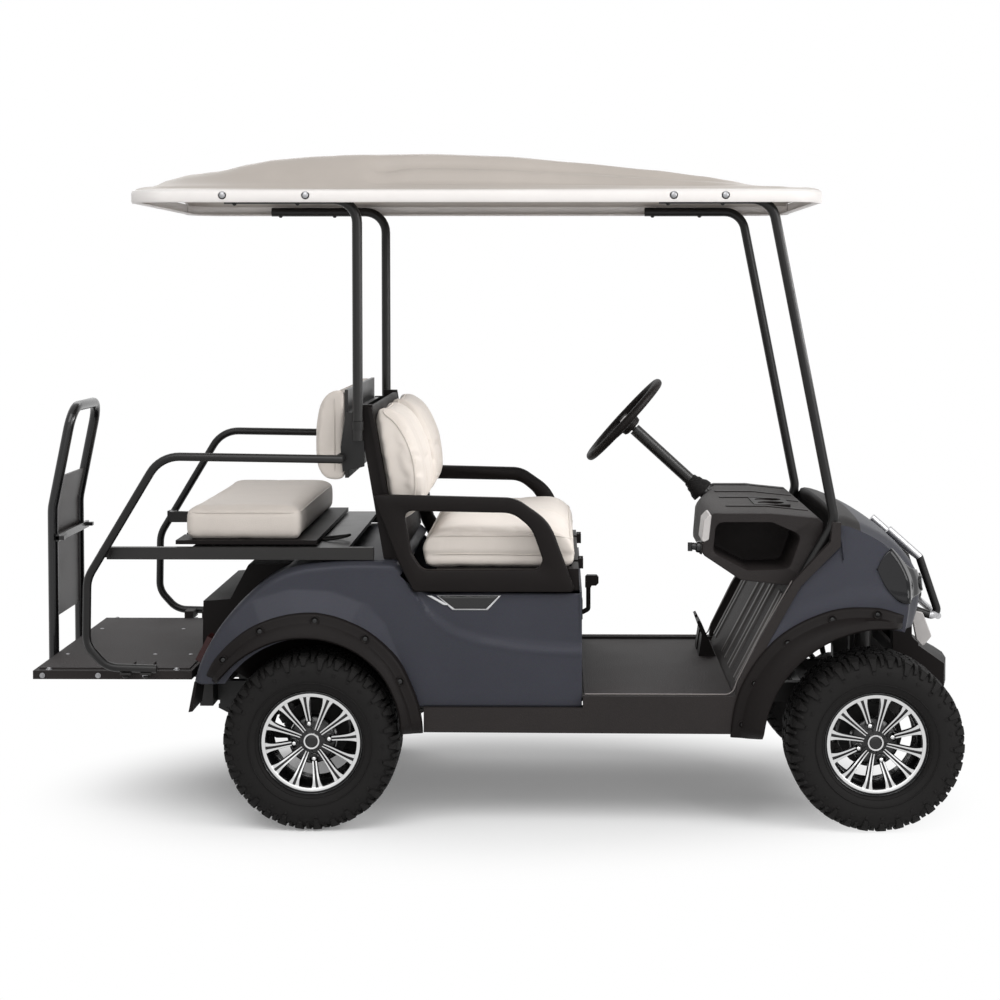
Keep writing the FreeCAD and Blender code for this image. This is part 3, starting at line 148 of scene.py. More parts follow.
def studio():
    """The floor, its finish and the lights."""
    backdrop()
    mesh = bpy.data.meshes.new("floor")
    far = 40
    mesh.from_pydata([(-far, -far, 0), (far, -far, 0), (far, far, 0), (-far, far, 0)], [], [(0, 1, 2, 3)])
    floor = bpy.data.objects.new("floor", mesh)
    bpy.context.collection.objects.link(floor)
    mesh.materials.append(paper())
    lamp("key", (-1.2, -4.5, 5.6), (0, 0, 0.5), (5, 4), 200)
    lamp("fill", (4.4, -3.2, 3.0), (0.2, 0, 0.9), (3, 3), 140)
    lamp("side", (0.2, -7.0, 2.0), (0.1, 0, 0.8), (6, 2.5), 30)
    lamp("back", (-0.5, 5.0, 5.0), (0, 0, 0.8), (6, 3), 80)
    lamp("cabin", (1.3, -0.25, 1.65), (-0.2, -0.1, 0.98), (0.5, 0.5), 3.2, 70)


# Materials

def material(name, colour, rough=0.5, metal=0.0, coat=0.0, spread=0.1, grain=0.0, pitch=900.0,
             cells=False, flakes=0.0, sheen=0.0, wear=0.0, gloss=0.5):
    """A finish with a clouded tone and fine grain, and metal flakes or paler worn edges if asked for."""
    made = bpy.data.materials.new(name)
    graph = Graph(made)
    place = graph.add("TexCoord", {})["Object"]
    cloud = graph.add("TexNoise", {"Scale": 5.0, "Detail": 8, "Roughness": 0.6, "Vector": place})["Fac"]
    shade = graph.add("ValToRGB", {"Fac": cloud})["Color"]
    for stop, position, share in zip(shade.node.color_ramp.elements, (0.3, 0.7), (1 - spread, 1 + spread)):
        stop.position = position
        stop.color = [*(min(1, c * share) for c in colour), 1]
    fine = graph.add("TexVoronoi" if cells or flakes else "TexNoise", {"Scale": pitch, "Vector": place})
    if flakes:
        shade = graph.add("Mix", {"Factor": flakes, "A": shade, "B": fine["Color"]}, data_type="RGBA",
                          blend_type="OVERLAY")["Result"]
    if wear:
        edge = graph.add("NewGeometry", {})["Pointiness"]
        band = graph.add("MapRange", {"From Min": 0.52, "From Max": 0.6, "To Max": wear, "Value": edge})
        shade = graph.add("Mix", {"Factor": band["Result"], "A": shade, "B": (0.35, 0.33, 0.31, 1)},
                          data_type="RGBA")["Result"]
    haze = graph.add("MapRange", {"To Min": max(0.02, rough - 0.07), "To Max": min(1, rough + 0.07),
                                  "Value": cloud})["Result"]
    inputs = {"Base Color": shade, "Roughness": haze, "Metallic": metal, "Specular IOR Level": gloss,
              "Coat Weight": coat, "Coat Roughness": 0.05, "Sheen Weight": sheen}
    if grain:
        height = fine["Distance" if cells or flakes else "Fac"]
        inputs["Normal"] = graph.add("Bump", {"Strength": min(1, grain), "Distance": 0.001,
                                              "Height": height})["Normal"]
    graph.present("Principled BSDF", inputs)
    return made


PAINT = material("paint", (0.0425, 0.0435, 0.054), 0.46, metal=0.15, coat=0.05, spread=0.05, pitch=1600,
                 flakes=0.22, gloss=0.06)
BLACK = material("moulding", (0.0072, 0.0056, 0.0053), 0.52, spread=0.12, grain=0.25, pitch=700, gloss=0.12)
# On the floor pan this paler tone is a painted reflection of the white floor on the sills.
COARSE = material("tread_plastic", (0.015, 0.012, 0.0115), 0.66, spread=0.15, grain=0.6, pitch=420,
                  cells=True, gloss=0.25)
COATED = material("powder_coat", (0.0045, 0.0042, 0.0042), 0.36, spread=0.1, grain=0.12, pitch=900, wear=0.03,
                  gloss=0.3)
STEEL = material("zinc", (0.34, 0.34, 0.35), 0.38, metal=0.9, spread=0.15, grain=0.1, pitch=500)
CAST = material("casting", (0.035, 0.034, 0.034), 0.6, metal=0.4, spread=0.2, grain=0.5, pitch=260, gloss=0.3)
RUBBER = material("rubber", (0.0068, 0.0062, 0.006), 0.74, spread=0.18, grain=0.25, pitch=600, gloss=0.2)
MACHINED = material("machined", (0.66, 0.66, 0.66), 0.24, metal=1.0, spread=0.04, grain=0.05, pitch=2200)
GLOSS = material("gloss_black", (0.006, 0.006, 0.0065), 0.22, coat=0.2, spread=0.1, grain=0.03, pitch=300,
                 gloss=0.35)
BRIGHT = material("bright_trim", (0.6, 0.6, 0.61), 0.3, metal=0.8, spread=0.05, grain=0.04, pitch=900)
SATIN = material("satin_tube", (0.5, 0.5, 0.51), 0.34, metal=0.85, spread=0.08, grain=0.01, pitch=300)
VINYL = material("vinyl", (0.63, 0.575, 0.525), 0.55, spread=0.05, grain=0.35, pitch=520, cells=True,
                 sheen=0.1, gloss=0.3)
WELT = material("welt", (0.55, 0.5, 0.455), 0.5, spread=0.06, grain=0.3, pitch=700, cells=True, gloss=0.3)
ROOF = material("roof_plastic", (0.42, 0.38, 0.345), 0.44, spread=0.04, grain=0.1, pitch=420, gloss=0.35)
ROOF_BAND = material("roof_trim", (0.76, 0.73, 0.71), 0.42, spread=0.03, grain=0.06, pitch=420, gloss=0.3)
MAT = material("floor_mat", (0.022, 0.018, 0.018), 0.7, spread=0.2, grain=0.6, pitch=240, cells=True,
               gloss=0.3)
LENS = material("smoked_lens", (0.0035, 0.0035, 0.0045), 0.12, coat=0.15, spread=0.2, grain=0.02, pitch=120,
                gloss=0.2)
CLEAR = material("clear_lens", (0.45, 0.47, 0.5), 0.1, metal=0.6, coat=1.0, spread=0.1, grain=0.3, pitch=180,
                 cells=True)
RED = material("red_lens", (0.03, 0.004, 0.004), 0.22, coat=0.2, spread=0.15, grain=0.15, pitch=220,
               cells=True, gloss=0.2)
SILVER = material("silver_panel", (0.46, 0.44, 0.43), 0.42, metal=0.3, spread=0.06, grain=0.05, pitch=1200)
# A pale grey used as a painted highlight along the sills' rounded edges.
EDGE_HIGHLIGHT = material("painted_edge_highlight", (0.2, 0.18, 0.175), 0.4, spread=0.1, grain=0.05, pitch=900)
RIB = material("ribbed_trim", (0.06, 0.055, 0.053), 0.45, spread=0.12, grain=0.15, pitch=600)
SMOKED = material("smoked_plate", (0.035, 0.03, 0.029), 0.4, spread=0.2, grain=0.2, pitch=300, gloss=0.3)


# Geometry

def rounded(points, radius, steps=8, closed=False):
    """A line through the points with its corners turned to arcs."""
    points = [Vector(p) for p in points]
    count = len(points)
    path = [] if closed else [points[0]]
    for i in range(0 if closed else 1, count if closed else count - 1):
        before, here, after = points[i - 1], points[i], points[(i + 1) % count]
        r = radius[i] if isinstance(radius, (list, tuple)) else radius
        a, b = (before - here), (after - here)
        room = 0.48 * min(a.length, b.length)
        a.normalize()
        b.normalize()
        half = a.angle(b) / 2
        if half > 1.55 or r <= 0:
            path.append(here)
            continue
        reach = min(r / math.tan(half), room)
        r = reach * math.tan(half)
        middle = here + (a + b).normalized() * (r / math.sin(half))
        u, v = (here + a * reach - middle).normalized(), (here + b * reach - middle).normalized()
        path += [middle + u.slerp(v, k / steps) * r for k in range(steps + 1)]
    return path if closed else path + [points[-1]]


def flat(points, y=0.0):
    """Points of the side view put in space."""
    return [(x, y, z) for x, z in points]


def front(points, y=0.0):
    """Points given in millimetres from the front axle and the floor."""
    return [(FRONT + x / 1000, y, FLOOR + z / 1000) for x, z in points]


def rear(points, y=0.0):
    """The same from the rear axle."""
    return [(REAR + x / 1000, y, FLOOR + z / 1000) for x, z in points]


def front_xz(points):
    """The same as front, in the side view only."""
    return [(FRONT + x / 1000, FLOOR + z / 1000) for x, z in points]


def ease(t):
    """A smooth step from nought to one."""
    t = max(0.0, min(1.0, t))
    return t * t * (3 - 2 * t)


def lengths_along(points):
    """How far along the line each of its points lies."""
    lengths = [0.0]
    for a, b in zip(points, points[1:]):
        lengths.append(lengths[-1] + (b - a).length)
    return lengths


def spread_line(points, count):
    """The line cut into an even number of steps by length."""
    points = [Vector(p) for p in points]
    lengths = lengths_along(points)
    made = []
    k = 0
    for i in range(count):
        want = lengths[-1] * i / (count - 1)
        while k < len(points) - 2 and lengths[k + 1] < want:
            k += 1
        share = (want - lengths[k]) / max(1e-9, lengths[k + 1] - lengths[k])
        made.append(points[k].lerp(points[k + 1], share))
    return made


def about(centre, radius, angle):
    """The place in the side view at this radius and this angle in degrees."""
    a = math.radians(angle)
    return centre[0] + radius * math.cos(a), centre[1] + radius * math.sin(a)


def arc(centre, radius, angles):
    """Places on a circle in the side view."""
    return [about(centre, radius, a) for a in angles]


def neighbours(rows, x):
    """The two rows in turn whose first values hold x between them, and the share of the way."""
    j = next(i for i in range(len(rows) - 1) if rows[i + 1][0] >= x - 1e-9)
    low, high = rows[j], rows[j + 1]
    return low, high, (x - low[0]) / (high[0] - low[0])


def dense(points, count=6):
    """A smooth line through the points."""
    pts = [Vector(p) for p in points]
    out = []
    for i in range(len(pts) - 1):
        p0, p1, p2, p3 = pts[max(0, i - 1)], pts[i], pts[i + 1], pts[min(len(pts) - 1, i + 2)]
        for k in range(count):
            t = k / count
            out.append(0.5 * ((2 * p1) + (p2 - p0) * t + (2 * p0 - 5 * p1 + 4 * p2 - p3) * t * t
                              + (3 * p1 - p0 - 3 * p2 + p3) * t ** 3))
    out.append(pts[-1])
    return [tuple(p) for p in out]


class Form:
    """Collects the faces of one piece."""

    def __init__(self):
        self.points = []
        self.faces = []
        self.marks = []

    def add(self, points, faces, mark=0):
        start = len(self.points)
        self.points += [Vector(p) for p in points]
        for face in faces:
            self.faces.append([start + i for i in face])
            self.marks.append(mark)
        return self

    def grid(self, rows, mark=0, loop=False, ring=False, caps=False, choose=None):
        """Faces between rows of points; loop joins each row's ends, ring the last row to the first."""
        wide = len(rows[0])
        start = len(self.points)
        for row in rows:
            self.points += [Vector(p) for p in row]
        for i in range(len(rows) if ring else len(rows) - 1):
            for k in range(wide if loop else wide - 1):
                j, m = (i + 1) % len(rows), (k + 1) % wide
                here, there = start + i * wide, start + j * wide
                face = [here + k, here + m, there + m, there + k]
                self.faces.append(face)
                middle = sum((self.points[n] for n in face), Vector()) / 4
                self.marks.append(choose(middle) if choose else mark)
        if caps:
            last = start + (len(rows) - 1) * wide
            self.faces += [list(range(start, start + wide))[::-1], list(range(last, last + wide))]
            self.marks += [mark, mark]
        return self

    def tube(self, path, radius, sides=14, mark=0, ring=False):
        path = [Vector(p) for p in path]
        count = len(path)
        side = None
        rows = []
        for i, here in enumerate(path):
            ahead = path[(i + 1) % count] if ring else path[min(i + 1, count - 1)]
            behind = path[i - 1] if ring or i else here
            along = (ahead - behind).normalized()
            side = (side - along * side.dot(along) if side else along.orthogonal()).normalized()
            up = along.cross(side)
            rows.append([here + (side * math.cos(a) + up * math.sin(a)) * radius
                         for a in (2 * math.pi * k / sides for k in range(sides))])
        return self.grid(rows, mark, loop=True, ring=ring, caps=not ring)

    def turn(self, profile, centre, axis, steps=24, mark=0, unit=0.001):
        """The profile of (radius, height) pairs, in millimetres unless told, turned about the axis."""
        axis = Vector(axis).normalized()
        side = Vector((0, 0, 1)) if abs(axis.z) < 0.9 else Vector((1, 0, 0))
        side = (side - axis * side.dot(axis)).normalized()
        up = axis.cross(side)
        rows = []
        for k in range(steps):
            a = math.radians(360 * k / steps)
            out = side * math.cos(a) + up * math.sin(a)
            rows.append([Vector(centre) + out * (r * unit) + axis * (h * unit) for r, h in profile])
        return self.grid(rows, mark, ring=True)

    def bolt(self, place, axis, radius):
        """A flanged bolt head."""
        self.turn([(0, 0.9), (0.35, 0.9), (0.45, 0.75), (0.86, 0.75), (0.92, 0.6), (0.92, 0.25), (1.35, 0.2),
                   (1.45, 0), (1.45, -0.4)], place, axis, 12, unit=radius)

    def slab(self, low, high, mark=0):
        (a, b, c), (d, e, f) = low, high
        return self.add([(a, b, c), (d, b, c), (d, e, c), (a, e, c), (a, b, f), (d, b, f), (d, e, f),
                         (a, e, f)],
                        [(3, 2, 1, 0), (4, 5, 6, 7), (0, 1, 5, 4), (1, 2, 6, 5), (2, 3, 7, 6),
                         (3, 0, 4, 7)], mark)

    def prism(self, outline, low, high, mark=0):
        """An outline in the side view, given thickness across."""
        near = [(p[0], low, p[-1]) for p in outline]
        far = [(p[0], high, p[-1]) for p in outline]
        return self.grid([near, far], mark, loop=True, caps=True)

    def mirrored(self):
        """The same again across the centre line."""
        start = len(self.points)
        self.points += [Vector((p.x, -p.y, p.z)) for p in self.points]
        for face, mark in list(zip(self.faces, self.marks)):
            self.faces.append([start + i for i in face][::-1])
            self.marks.append(mark)
        return self

    def made(self, name, body, materials, slot, nodes=(), angle=38, edge=0.0, thick=0.0, weld=1e-5):
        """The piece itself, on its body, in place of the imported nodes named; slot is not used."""
        mesh = bpy.data.meshes.new(name)
        mesh.from_pydata([tuple(p) for p in self.points], [], self.faces)
        for polygon, mark in zip(mesh.polygons, self.marks):
            polygon.material_index = mark
        shape = bmesh.new()
        shape.from_mesh(mesh)
        bmesh.ops.remove_doubles(shape, verts=shape.verts, dist=weld)
        bmesh.ops.dissolve_degenerate(shape, edges=shape.edges, dist=1e-7)
        bmesh.ops.recalc_face_normals(shape, faces=shape.faces)
        shape.to_mesh(mesh)
        shape.free()
        mesh.shade_smooth()
        mesh.set_sharp_from_angle(angle=math.radians(angle))
        for one in materials if isinstance(materials, list) else [materials]:
            mesh.materials.append(one)
        item = bpy.data.objects.new(name, mesh)
        bpy.context.collection.objects.link(item)
        if thick:
            shell = item.modifiers.new("Wall", "SOLIDIFY")
            shell.thickness = thick
            shell.offset = -1
        if edge:
            soften(item, edge)
        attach(item, body)
        if nodes:
            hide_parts(*nodes)
        return item


def soften(item, width, segments=2):
    """Rounds the piece's sharp edges."""
    bevel = item.modifiers.new("Edge", "BEVEL")
    bevel.width = width
    bevel.segments = segments
    bevel.limit_method = "ANGLE"
    bevel.angle_limit = math.radians(40)


def keep(node, finish, edge=0.0):
    """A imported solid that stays, with a better finish."""
    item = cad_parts[node]
    item.data.materials.clear()
    item.data.materials.append(finish)
    if edge:
        soften(item, edge)


# Wheels, built at the origin with the outer face towards +Y

def tyre_form():
    """The carcass with two raised rings on its side, and the tread blocks."""
    form = Form()
    # The section's (radius, half width), in millimetres
    section = [(152.8, 94), (156, 103), (163, 110), (176, 115), (192, 118), (208, 118.5), (222, 116.5),
               (233, 111), (241.5, 103), (246.5, 94), (249, 80), (249.6, 35), (249.7, 0)]
    form.turn(section + [(r, -y) for r, y in reversed(section[:-1])], ORIGIN, ACROSS, 96)
    for middle, proud in ((160, 1.3), (180, 1.7)):
        base = 107 + (middle - 156) * 0.45
        form.turn([(middle - 1.6, base), (middle, base + proud), (middle + 1.8, base)], ORIGIN, ACROSS, 96)
    curve = [Vector((y / 1000, r / 1000, 0)) for r, y in reversed(section[3:])]
    lengths = lengths_along(curve)

    def skin(angle, s, lift):
        """A point on the tread: angle round, s metres out from the middle, lifted off the carcass."""
        want = min(abs(s), lengths[-1] - 1e-5)
        k = next(i for i in range(len(lengths) - 1) if lengths[i + 1] >= want)
        a, b = curve[k], curve[k + 1]
        p = a.lerp(b, (want - lengths[k]) / (lengths[k + 1] - lengths[k]))
        run = (b - a).normalized()
        p = p + Vector((abs(run.y), abs(run.x), 0)) * lift
        return Vector((math.sin(angle) * p.y, p.x if s >= 0 else -p.x, math.cos(angle) * p.y))

    def block(corners, lift, tip):
        """A tread block: four corners (angle, s), a flat top and drafted sides."""
        centre = (sum(c[0] for c in corners) / 4, sum(c[1] for c in corners) / 4)

        def at(u, v, grow):
            a0 = corners[0][0] + (corners[1][0] - corners[0][0]) * u
            a1 = corners[3][0] + (corners[2][0] - corners[3][0]) * u
            s0 = corners[0][1] + (corners[1][1] - corners[0][1]) * u
            s1 = corners[3][1] + (corners[2][1] - corners[3][1]) * u
            a, s = a0 + (a1 - a0) * v, s0 + (s1 - s0) * v
            return centre[0] + (a - centre[0]) * grow, centre[1] + (s - centre[1]) * grow
        across = 4
        rim = [(0, 0), (0.5, 0), (1, 0)] + [(1, k / across) for k in range(1, across)]
        rim += [(1, 1), (0.5, 1), (0, 1)] + [(0, 1 - k / across) for k in range(1, across)]
        rows = []
        for grow, share in ((1.12, -0.1), (1.0, 0.88), (0.94, 1.0)):
            rows.append([skin(*at(u, v, grow), (lift + (tip - lift) * v) * share) for u, v in rim])
        form.grid(rows, loop=True)
        form.grid([[skin(*at(u, k / across, 0.94), lift + (tip - lift) * k / across) for u in (0, 0.5, 1)]
                   for k in range(across + 1)])

    pitches = 30
    step = 2 * math.pi / pitches
    tall = 0.0102
    for i in range(pitches):
        for side in (1, -1):
            start = i * step + (0.0 if side > 0 else 0.5 * step)

            def put(points, lift=tall, tip=tall):
                """A block from corners as (share of a pitch, millimetres from the middle)."""
                block([(start + step * u, side * s / 1000) for u, s in points], lift, tip)
            put([(0.04, 2), (0.46, 2), (0.66, 24), (0.3, 30)])
            put([(0.6, 6), (0.96, 2), (1.1, 26), (0.8, 22)])
            put([(0.26, 37), (0.74, 32), (0.6, 60), (0.1, 64)])
            put([(0.84, 34), (1.16, 40), (1.0, 66), (0.72, 58)])
            put([(0.06, 71), (0.52, 68), (0.62, 94), (0.14, 98)])
            # Shoulder blocks of two lengths in turn, and a nub on the side
            long_one, short_one = (129, 110) if i % 2 else (119, 118)
            put([(0.18, 99), (0.58, 96), (0.48, long_one), (0.26, long_one)], tall, 0.0052)
            put([(0.72, 65), (1.0, 72), (0.92, short_one), (0.76, short_one - 4)], tall, 0.0062)
            put([(0.28, 134), (0.5, 134), (0.46, 142), (0.32, 142)], 0.0026, 0.0014)
    return form


def rim_form():
    """Barrel, bright lip, outer flange and hub, twelve split spokes, cap, cap screws and wheel nuts."""
    form = Form()

    def ring(profile, steps, mark, centre=ORIGIN):
        form.turn(profile, centre, ACROSS, steps, mark)
    ring([(151.5, -94), (151.5, -100), (145, -100), (140, -85), (128, -60), (128, 50), (134, 70),
          (136, 80)], 72, 1)
    ring([(133.5, 74), (134, 86.5), (135.2, 89), (140, 91.2), (144.6, 90.8), (146, 87)], 96, 0)
    ring([(145.6, 87), (148, 88), (150.4, 96), (152.2, 98.5), (153.8, 96), (153, 90)], 96, 1)
    ring([(0, 64), (30, 64), (44, 60), (64, 56), (70, 50), (72, 30), (60, 28), (50, 20)], 48, 1)
    spokes, first_spoke = 12, 7.7
    for k in range(spokes):
        angle = math.radians(first_spoke + 360 / spokes * k)
        begin, end, steps = 0.06 if k % 3 == 0 else 0.034, 0.14, 16
        rows = []
        for i in range(steps + 1):
            r = begin + (end - begin) * i / steps
            s = (r - 0.034) / 0.106
            gap = 0.0017 + 0.0016 * s + 0.0012 * s ** 6
            edge = gap + 0.0042 + 0.003 * s + 0.009 * s ** 7
            face = 0.0665 + 0.0225 * ease(s * 1.15) - 0.002 * s
            deep = face - 0.02 + 0.012 * s
            half = [(gap - 0.0008, face - 0.0055), (gap, face - 0.001), (gap + 0.0006, face),
                    (edge - 0.0008, face), (edge, face - 0.0012), (edge + 0.0012, deep)]
            across = [(-w, y) for w, y in reversed(half)] + half
            rows.append([(math.sin(angle) * r + math.cos(angle) * w, y,
                          math.cos(angle) * r - math.sin(angle) * w)
                         for w, y in across])
        start, first = len(form.points), len(form.marks)
        form.grid(rows, 1)
        # The two lands are machined bright with their outer edges, and near the lip with their inner ones too
        for i in range(steps):
            for column in (1, 2, 8, 9) + ((3, 7) if i > 12 else ()):
                form.marks[first + i * 11 + column] = 0
        form.faces.append([start + c for c in range(12)])
        form.marks.append(1)
    ring([(18.5, 69), (19, 73.5), (23.2, 74), (24.5, 71.5), (25, 60)], 40, 0)
    ring([(0, 70), (10, 70.5), (15, 69), (19, 68)], 40, 1)
    for k in range(10):
        a = math.radians(36 * k)
        ring([(0, 74.5), (3, 74.2), (3.8, 70)], 10, 1, (0.033 * math.sin(a), -0.006, 0.033 * math.cos(a)))
    for k in range(4):
        a = math.radians(first_spoke + 90 * k)
        centre = (0.0525 * math.sin(a), 0, 0.0525 * math.cos(a))
        ring([(15, 56), (15, 65), (13.5, 66), (12.5, 56)], 24, 1, centre)
        ring([(0, 76), (3.5, 75.5), (6.5, 73.5), (7.8, 71.5), (8, 58), (10, 56)], 6, 0, centre)
    return form


def wheels():
    """The four wheels; the front ones are turned on their axles as in the photo."""
    tread, disc = tyre_form(), rim_form()
    for end, x, twist in (("front", FRONT, 11), ("rear", REAR, 0)):
        for side, sign in (("left", 1), ("right", -1)):
            spin = Matrix.Rotation(0 if sign > 0 else math.pi, 4, "Z")
            place = Matrix.Translation((x, TRACK / 2 * sign, AXLE)) @ spin
            place = place @ Matrix.Rotation(math.radians(twist), 4, "Y")
            for form, name, finish, slot in ((tread, "tyre", RUBBER, "tyre_rubber"),
                                             (disc, "rim", [MACHINED, GLOSS], "wheel_alloy")):
                one = Form()
                one.points = [place @ p for p in form.points]
                one.faces, one.marks = form.faces, form.marks
                one.made(f"{name}_{end}_{side}_dressed", f"wheel_{end}_{side}", finish, slot,
                         [f"{name}_{end}_{side}"], angle=35)


# Body panels

def side_of(point, line):
    """Distance of a point from a line, positive on its left."""
    best, sign = 1e9, 1
    p = Vector(point)
    for a, b in zip(line, line[1:]):
        a, b = Vector(a), Vector(b)
        run = b - a
        t = max(0, min(1, (p - a).dot(run) / run.length_squared))
        gap = (p - a - run * t).length
        if gap < best - 1e-9:
            best = gap
            sign = 1 if run.x * (p.y - a.y) - run.y * (p.x - a.x) >= 0 else -1
    return best * sign


FENDER = [(-0.9, 0.48), (-0.862, 0.552), (-0.804, 0.624), (-0.715, 0.677), (-0.603, 0.707), (-0.486, 0.701),
          (-0.383, 0.663), (-0.325, 0.604), (-0.281, 0.501), (-0.2625, 0.412), (-0.255, 0.35)]
LEDGE = [(-0.33, 0.86), (-0.286, 0.763), (-0.245, 0.696), (-0.1925, 0.628), (-0.134, 0.581), (-0.046, 0.546),
         (0.0715, 0.525), (0.189, 0.517), (0.3, 0.516)]


def rear_relief(x, z):
    """How far the rear side stands in from its widest plane: fender band, shoulder and door recess."""
    band = side_of((x, z), FENDER)
    door = side_of((x, z), LEDGE)
    wide = 0.007 + 0.03 * ease((x + 0.24) / 0.34)
    tumble = 0.01 * ease((z - 0.56) / 0.28)
    crown = 0.004 * math.sin(min(1, max(0, (z - 0.36) / 0.2)) * math.pi / 2)
    slope = 0.036 * min(1, max(0, -band / 0.075))
    ridge = 0.0022 * math.exp(-((door - 0.001) / 0.006) ** 2)
    return crown - 0.0175 - tumble + slope + ridge - 0.01 * ease(door / wide)


def front_relief(x, z):
    """How far the front side stands in: it leans in above, and steps in beyond the flare's band."""
    swell = math.hypot(x - FRONT, z - AXLE)
    return -0.024 * ease((z - 0.6) / 0.34) ** 1.3 - 0.007 * ease((swell - 0.425) / 0.035)


def panel(form, inner, outer, relief, rows):
    """The side between its lower and upper edges, with the relief pressed in."""
    grid = []
    for k in range(rows + 1):
        v = k / rows
        line = []
        for (x0, z0), (x1, z1) in zip(inner, outer):
            x, z = x0 + (x1 - x0) * v, z0 + (z1 - z0) * v
            line.append((x, HALF + relief(x, z), z))
        grid.append(line)
    form.grid(grid)
    return grid[-1]


def rear_shell():
    """The rear body: two sides rolled over into the deck, and the panel behind the legs."""
    form = Form()
    heart = (REAR, AXLE + 0.01)
    inner = arc(heart, 0.3, (147, 140, 128, 115, 102, 90, 78, 66, 54, 42, 32, 24, 17.5))
    inner += [(-0.2, 0.36), (-0.1, 0.36), (0.05, 0.36), (0.2, 0.36), (0.2535, 0.36)]
    outer = [(-0.888, 0.437), (-0.868, 0.5), (-0.821, 0.585), (-0.77, 0.65), (-0.719, 0.7), (-0.655, 0.745),
             (-0.585, 0.771), (-0.5, 0.783), (-0.42, 0.788), (-0.34, 0.788), (-0.292, 0.784), (-0.262, 0.757),
             (-0.225, 0.724), (-0.185, 0.7), (-0.1, 0.7), (0.05, 0.7), (0.2, 0.7), (0.2535, 0.7)]
    inner, outer = dense(inner), dense(outer)
    count = len(outer)
    edge, deep = [], []
    for i, (x, z) in enumerate(outer):
        a, b = Vector(outer[max(0, i - 1)]), Vector(outer[min(count - 1, i + 1)])
        run = (b - a).normalized()
        crisp = ease((x + 0.26) / 0.1)
        turn = 0.022 - 0.016 * crisp
        deep.append(0.04 - 0.03 * crisp)
        edge.append((x + run.y * turn, z - run.x * turn))
    last = panel(form, inner, edge, rear_relief, 56)
    rows = [last]
    for k in range(1, 7):
        t = math.radians(15 * k)
        rows.append([(e[0] + (o[0] - e[0]) * math.sin(t), p[1] - d * (1 - math.cos(t)),
                      e[1] + (o[1] - e[1]) * math.sin(t)) for e, o, p, d in zip(edge, outer, last, deep)])
    top = rows[-1]
    for share in (0.8, 0.4, 0.0):
        rows.append([(x, y * share, z) for x, y, z in top])
    # The deck's edge is rolled over along the first eleven spans only, each of six steps
    form.grid([row[:11 * 6] for row in rows])
    form.mirrored()
    form.slab((0.247, -0.527, 0.36), (0.2535, 0.527, 0.7))
    form.made("rear_body_shell", "chassis", PAINT, "body_paint", ["rear_body"], thick=0.005, weld=2e-4)


def wheel_house():
    """Dark liners inside the rear arches."""
    rows = []
    for k in range(25):
        row = []
        for r, y in ((0.306, 0.535), (0.308, 0.44), (0.306, 0.352), (0.296, 0.345), (0.215, 0.344)):
            x, z = about((REAR - 0.004, AXLE + 0.012), r, 20 + 128 * k / 24)
            row.append((x, y, z))
        rows.append(row)
    form = Form().grid(rows).mirrored()
    form.made("rear_arch_liners", "chassis", BLACK, "black_moulding", thick=0.003)


def cowl():
    """The front body: a side panel and a nose that wraps round to the centre line, with its lamps."""
    form = Form()
    left = [(-375, 8), (-366, 45), (-310, 175), (-220, 335), (-105, 451)]
    side = left + [(-105, 508), (-30, 486), (42, 438), (90, 356), (95, 286), (84, 202)]
    corner = left + [(-105, 524), (-24, 501), (66, 448), (126, 366), (137, 292), (116, 202)]
    middle = left + [(-105, 543), (-20, 518), (76, 458), (150, 375), (168, 290), (150, 202)]
    side, corner, middle = (dense(front_xz(line)) for line in (side, corner, middle))
    inner = dense(arc((FRONT, AXLE), 0.336, (158, 152, 140, 124, 108, 101, 94, 87, 81, 78, 75.8)))
    last = panel(form, inner, side, front_relief, 18)
    # The nose starts after the first four spans of the side's edge, each of six steps
    begin = 4 * 6
    rows = []
    for k in range(21):
        t = k / 20
        y = 0.52 * (1 - t) ** 0.85
        quick = math.sin(min(1.0, t * 5) * math.pi / 2)
        slow = math.sin(min(1.0, max(0.0, (t - 0.06) / 0.94)) * math.pi / 2) ** 0.9
        line = []
        for (x, w, z), (cx, cz), (mx, mz) in zip(last[begin:], corner[begin:], middle[begin:]):
            px, pz = x + (cx - x) * quick, z + (cz - z) * quick
            line.append((px + (mx - px) * slow, w if k == 0 else min(w, y), pz + (mz - pz) * slow))
        rows.append(line)
    # The first two spans are the black band next to the cabin
    form.grid([row[11:] for row in rows])
    form.grid([row[:12] for row in rows], 1)
    skin = BVHTree.FromPolygons(form.points, form.faces)
    lamp_glass(skin)
    form.mirrored()
    form.made("front_cowl_shell", "chassis", [PAINT, BLACK], "body_paint", ["front_cowl"], thick=0.005,
              weld=2e-4)
    round_lamps(skin)


def on_skin(skin, start, aim, lift):
    """Where a ray from inside meets the skin, lifted off it, and the outward normal there."""
    spot, normal, _, _ = skin.ray_cast(start, aim)
    normal = normal if normal.dot(aim) > 0 else -normal
    return spot + normal * lift, normal


def lamp_glass(skin):
    """The smoked lamp covers that wrap round the front corners."""
    # Each stop is (ahead of the front axle, across, low edge, high edge above the floor), in millimetres
    stops = [(4, 535, 383, 380), (16, 535, 352, 405), (34, 535, 316, 429), (54, 535, 292, 440),
             (72, 535, 283, 431), (94, 525, 285, 408), (116, 505, 292, 386), (134, 470, 299, 372),
             (150, 420, 304, 364), (160, 370, 308, 358), (164, 340, 318, 350), (165, 332, 333, 337)]
    grid = []
    for x, y, low, high in dense([[v / 1000 for v in stop] for stop in stops], 7):
        line = []
        for k in range(17):
            start = Vector((FRONT - 0.03, 0.4, FLOOR + low + (high - low) * k / 16))
            aim = (Vector((FRONT + x, y, start.z)) - start).normalized()
            line.append(on_skin(skin, start, aim, 0.0045)[0])
        grid.append(line)
    glass = Form().grid(grid).mirrored()
    glass.made("head_lamp_glass", "chassis", LENS, "lamp_lens", ["headlights"], thick=0.0035)


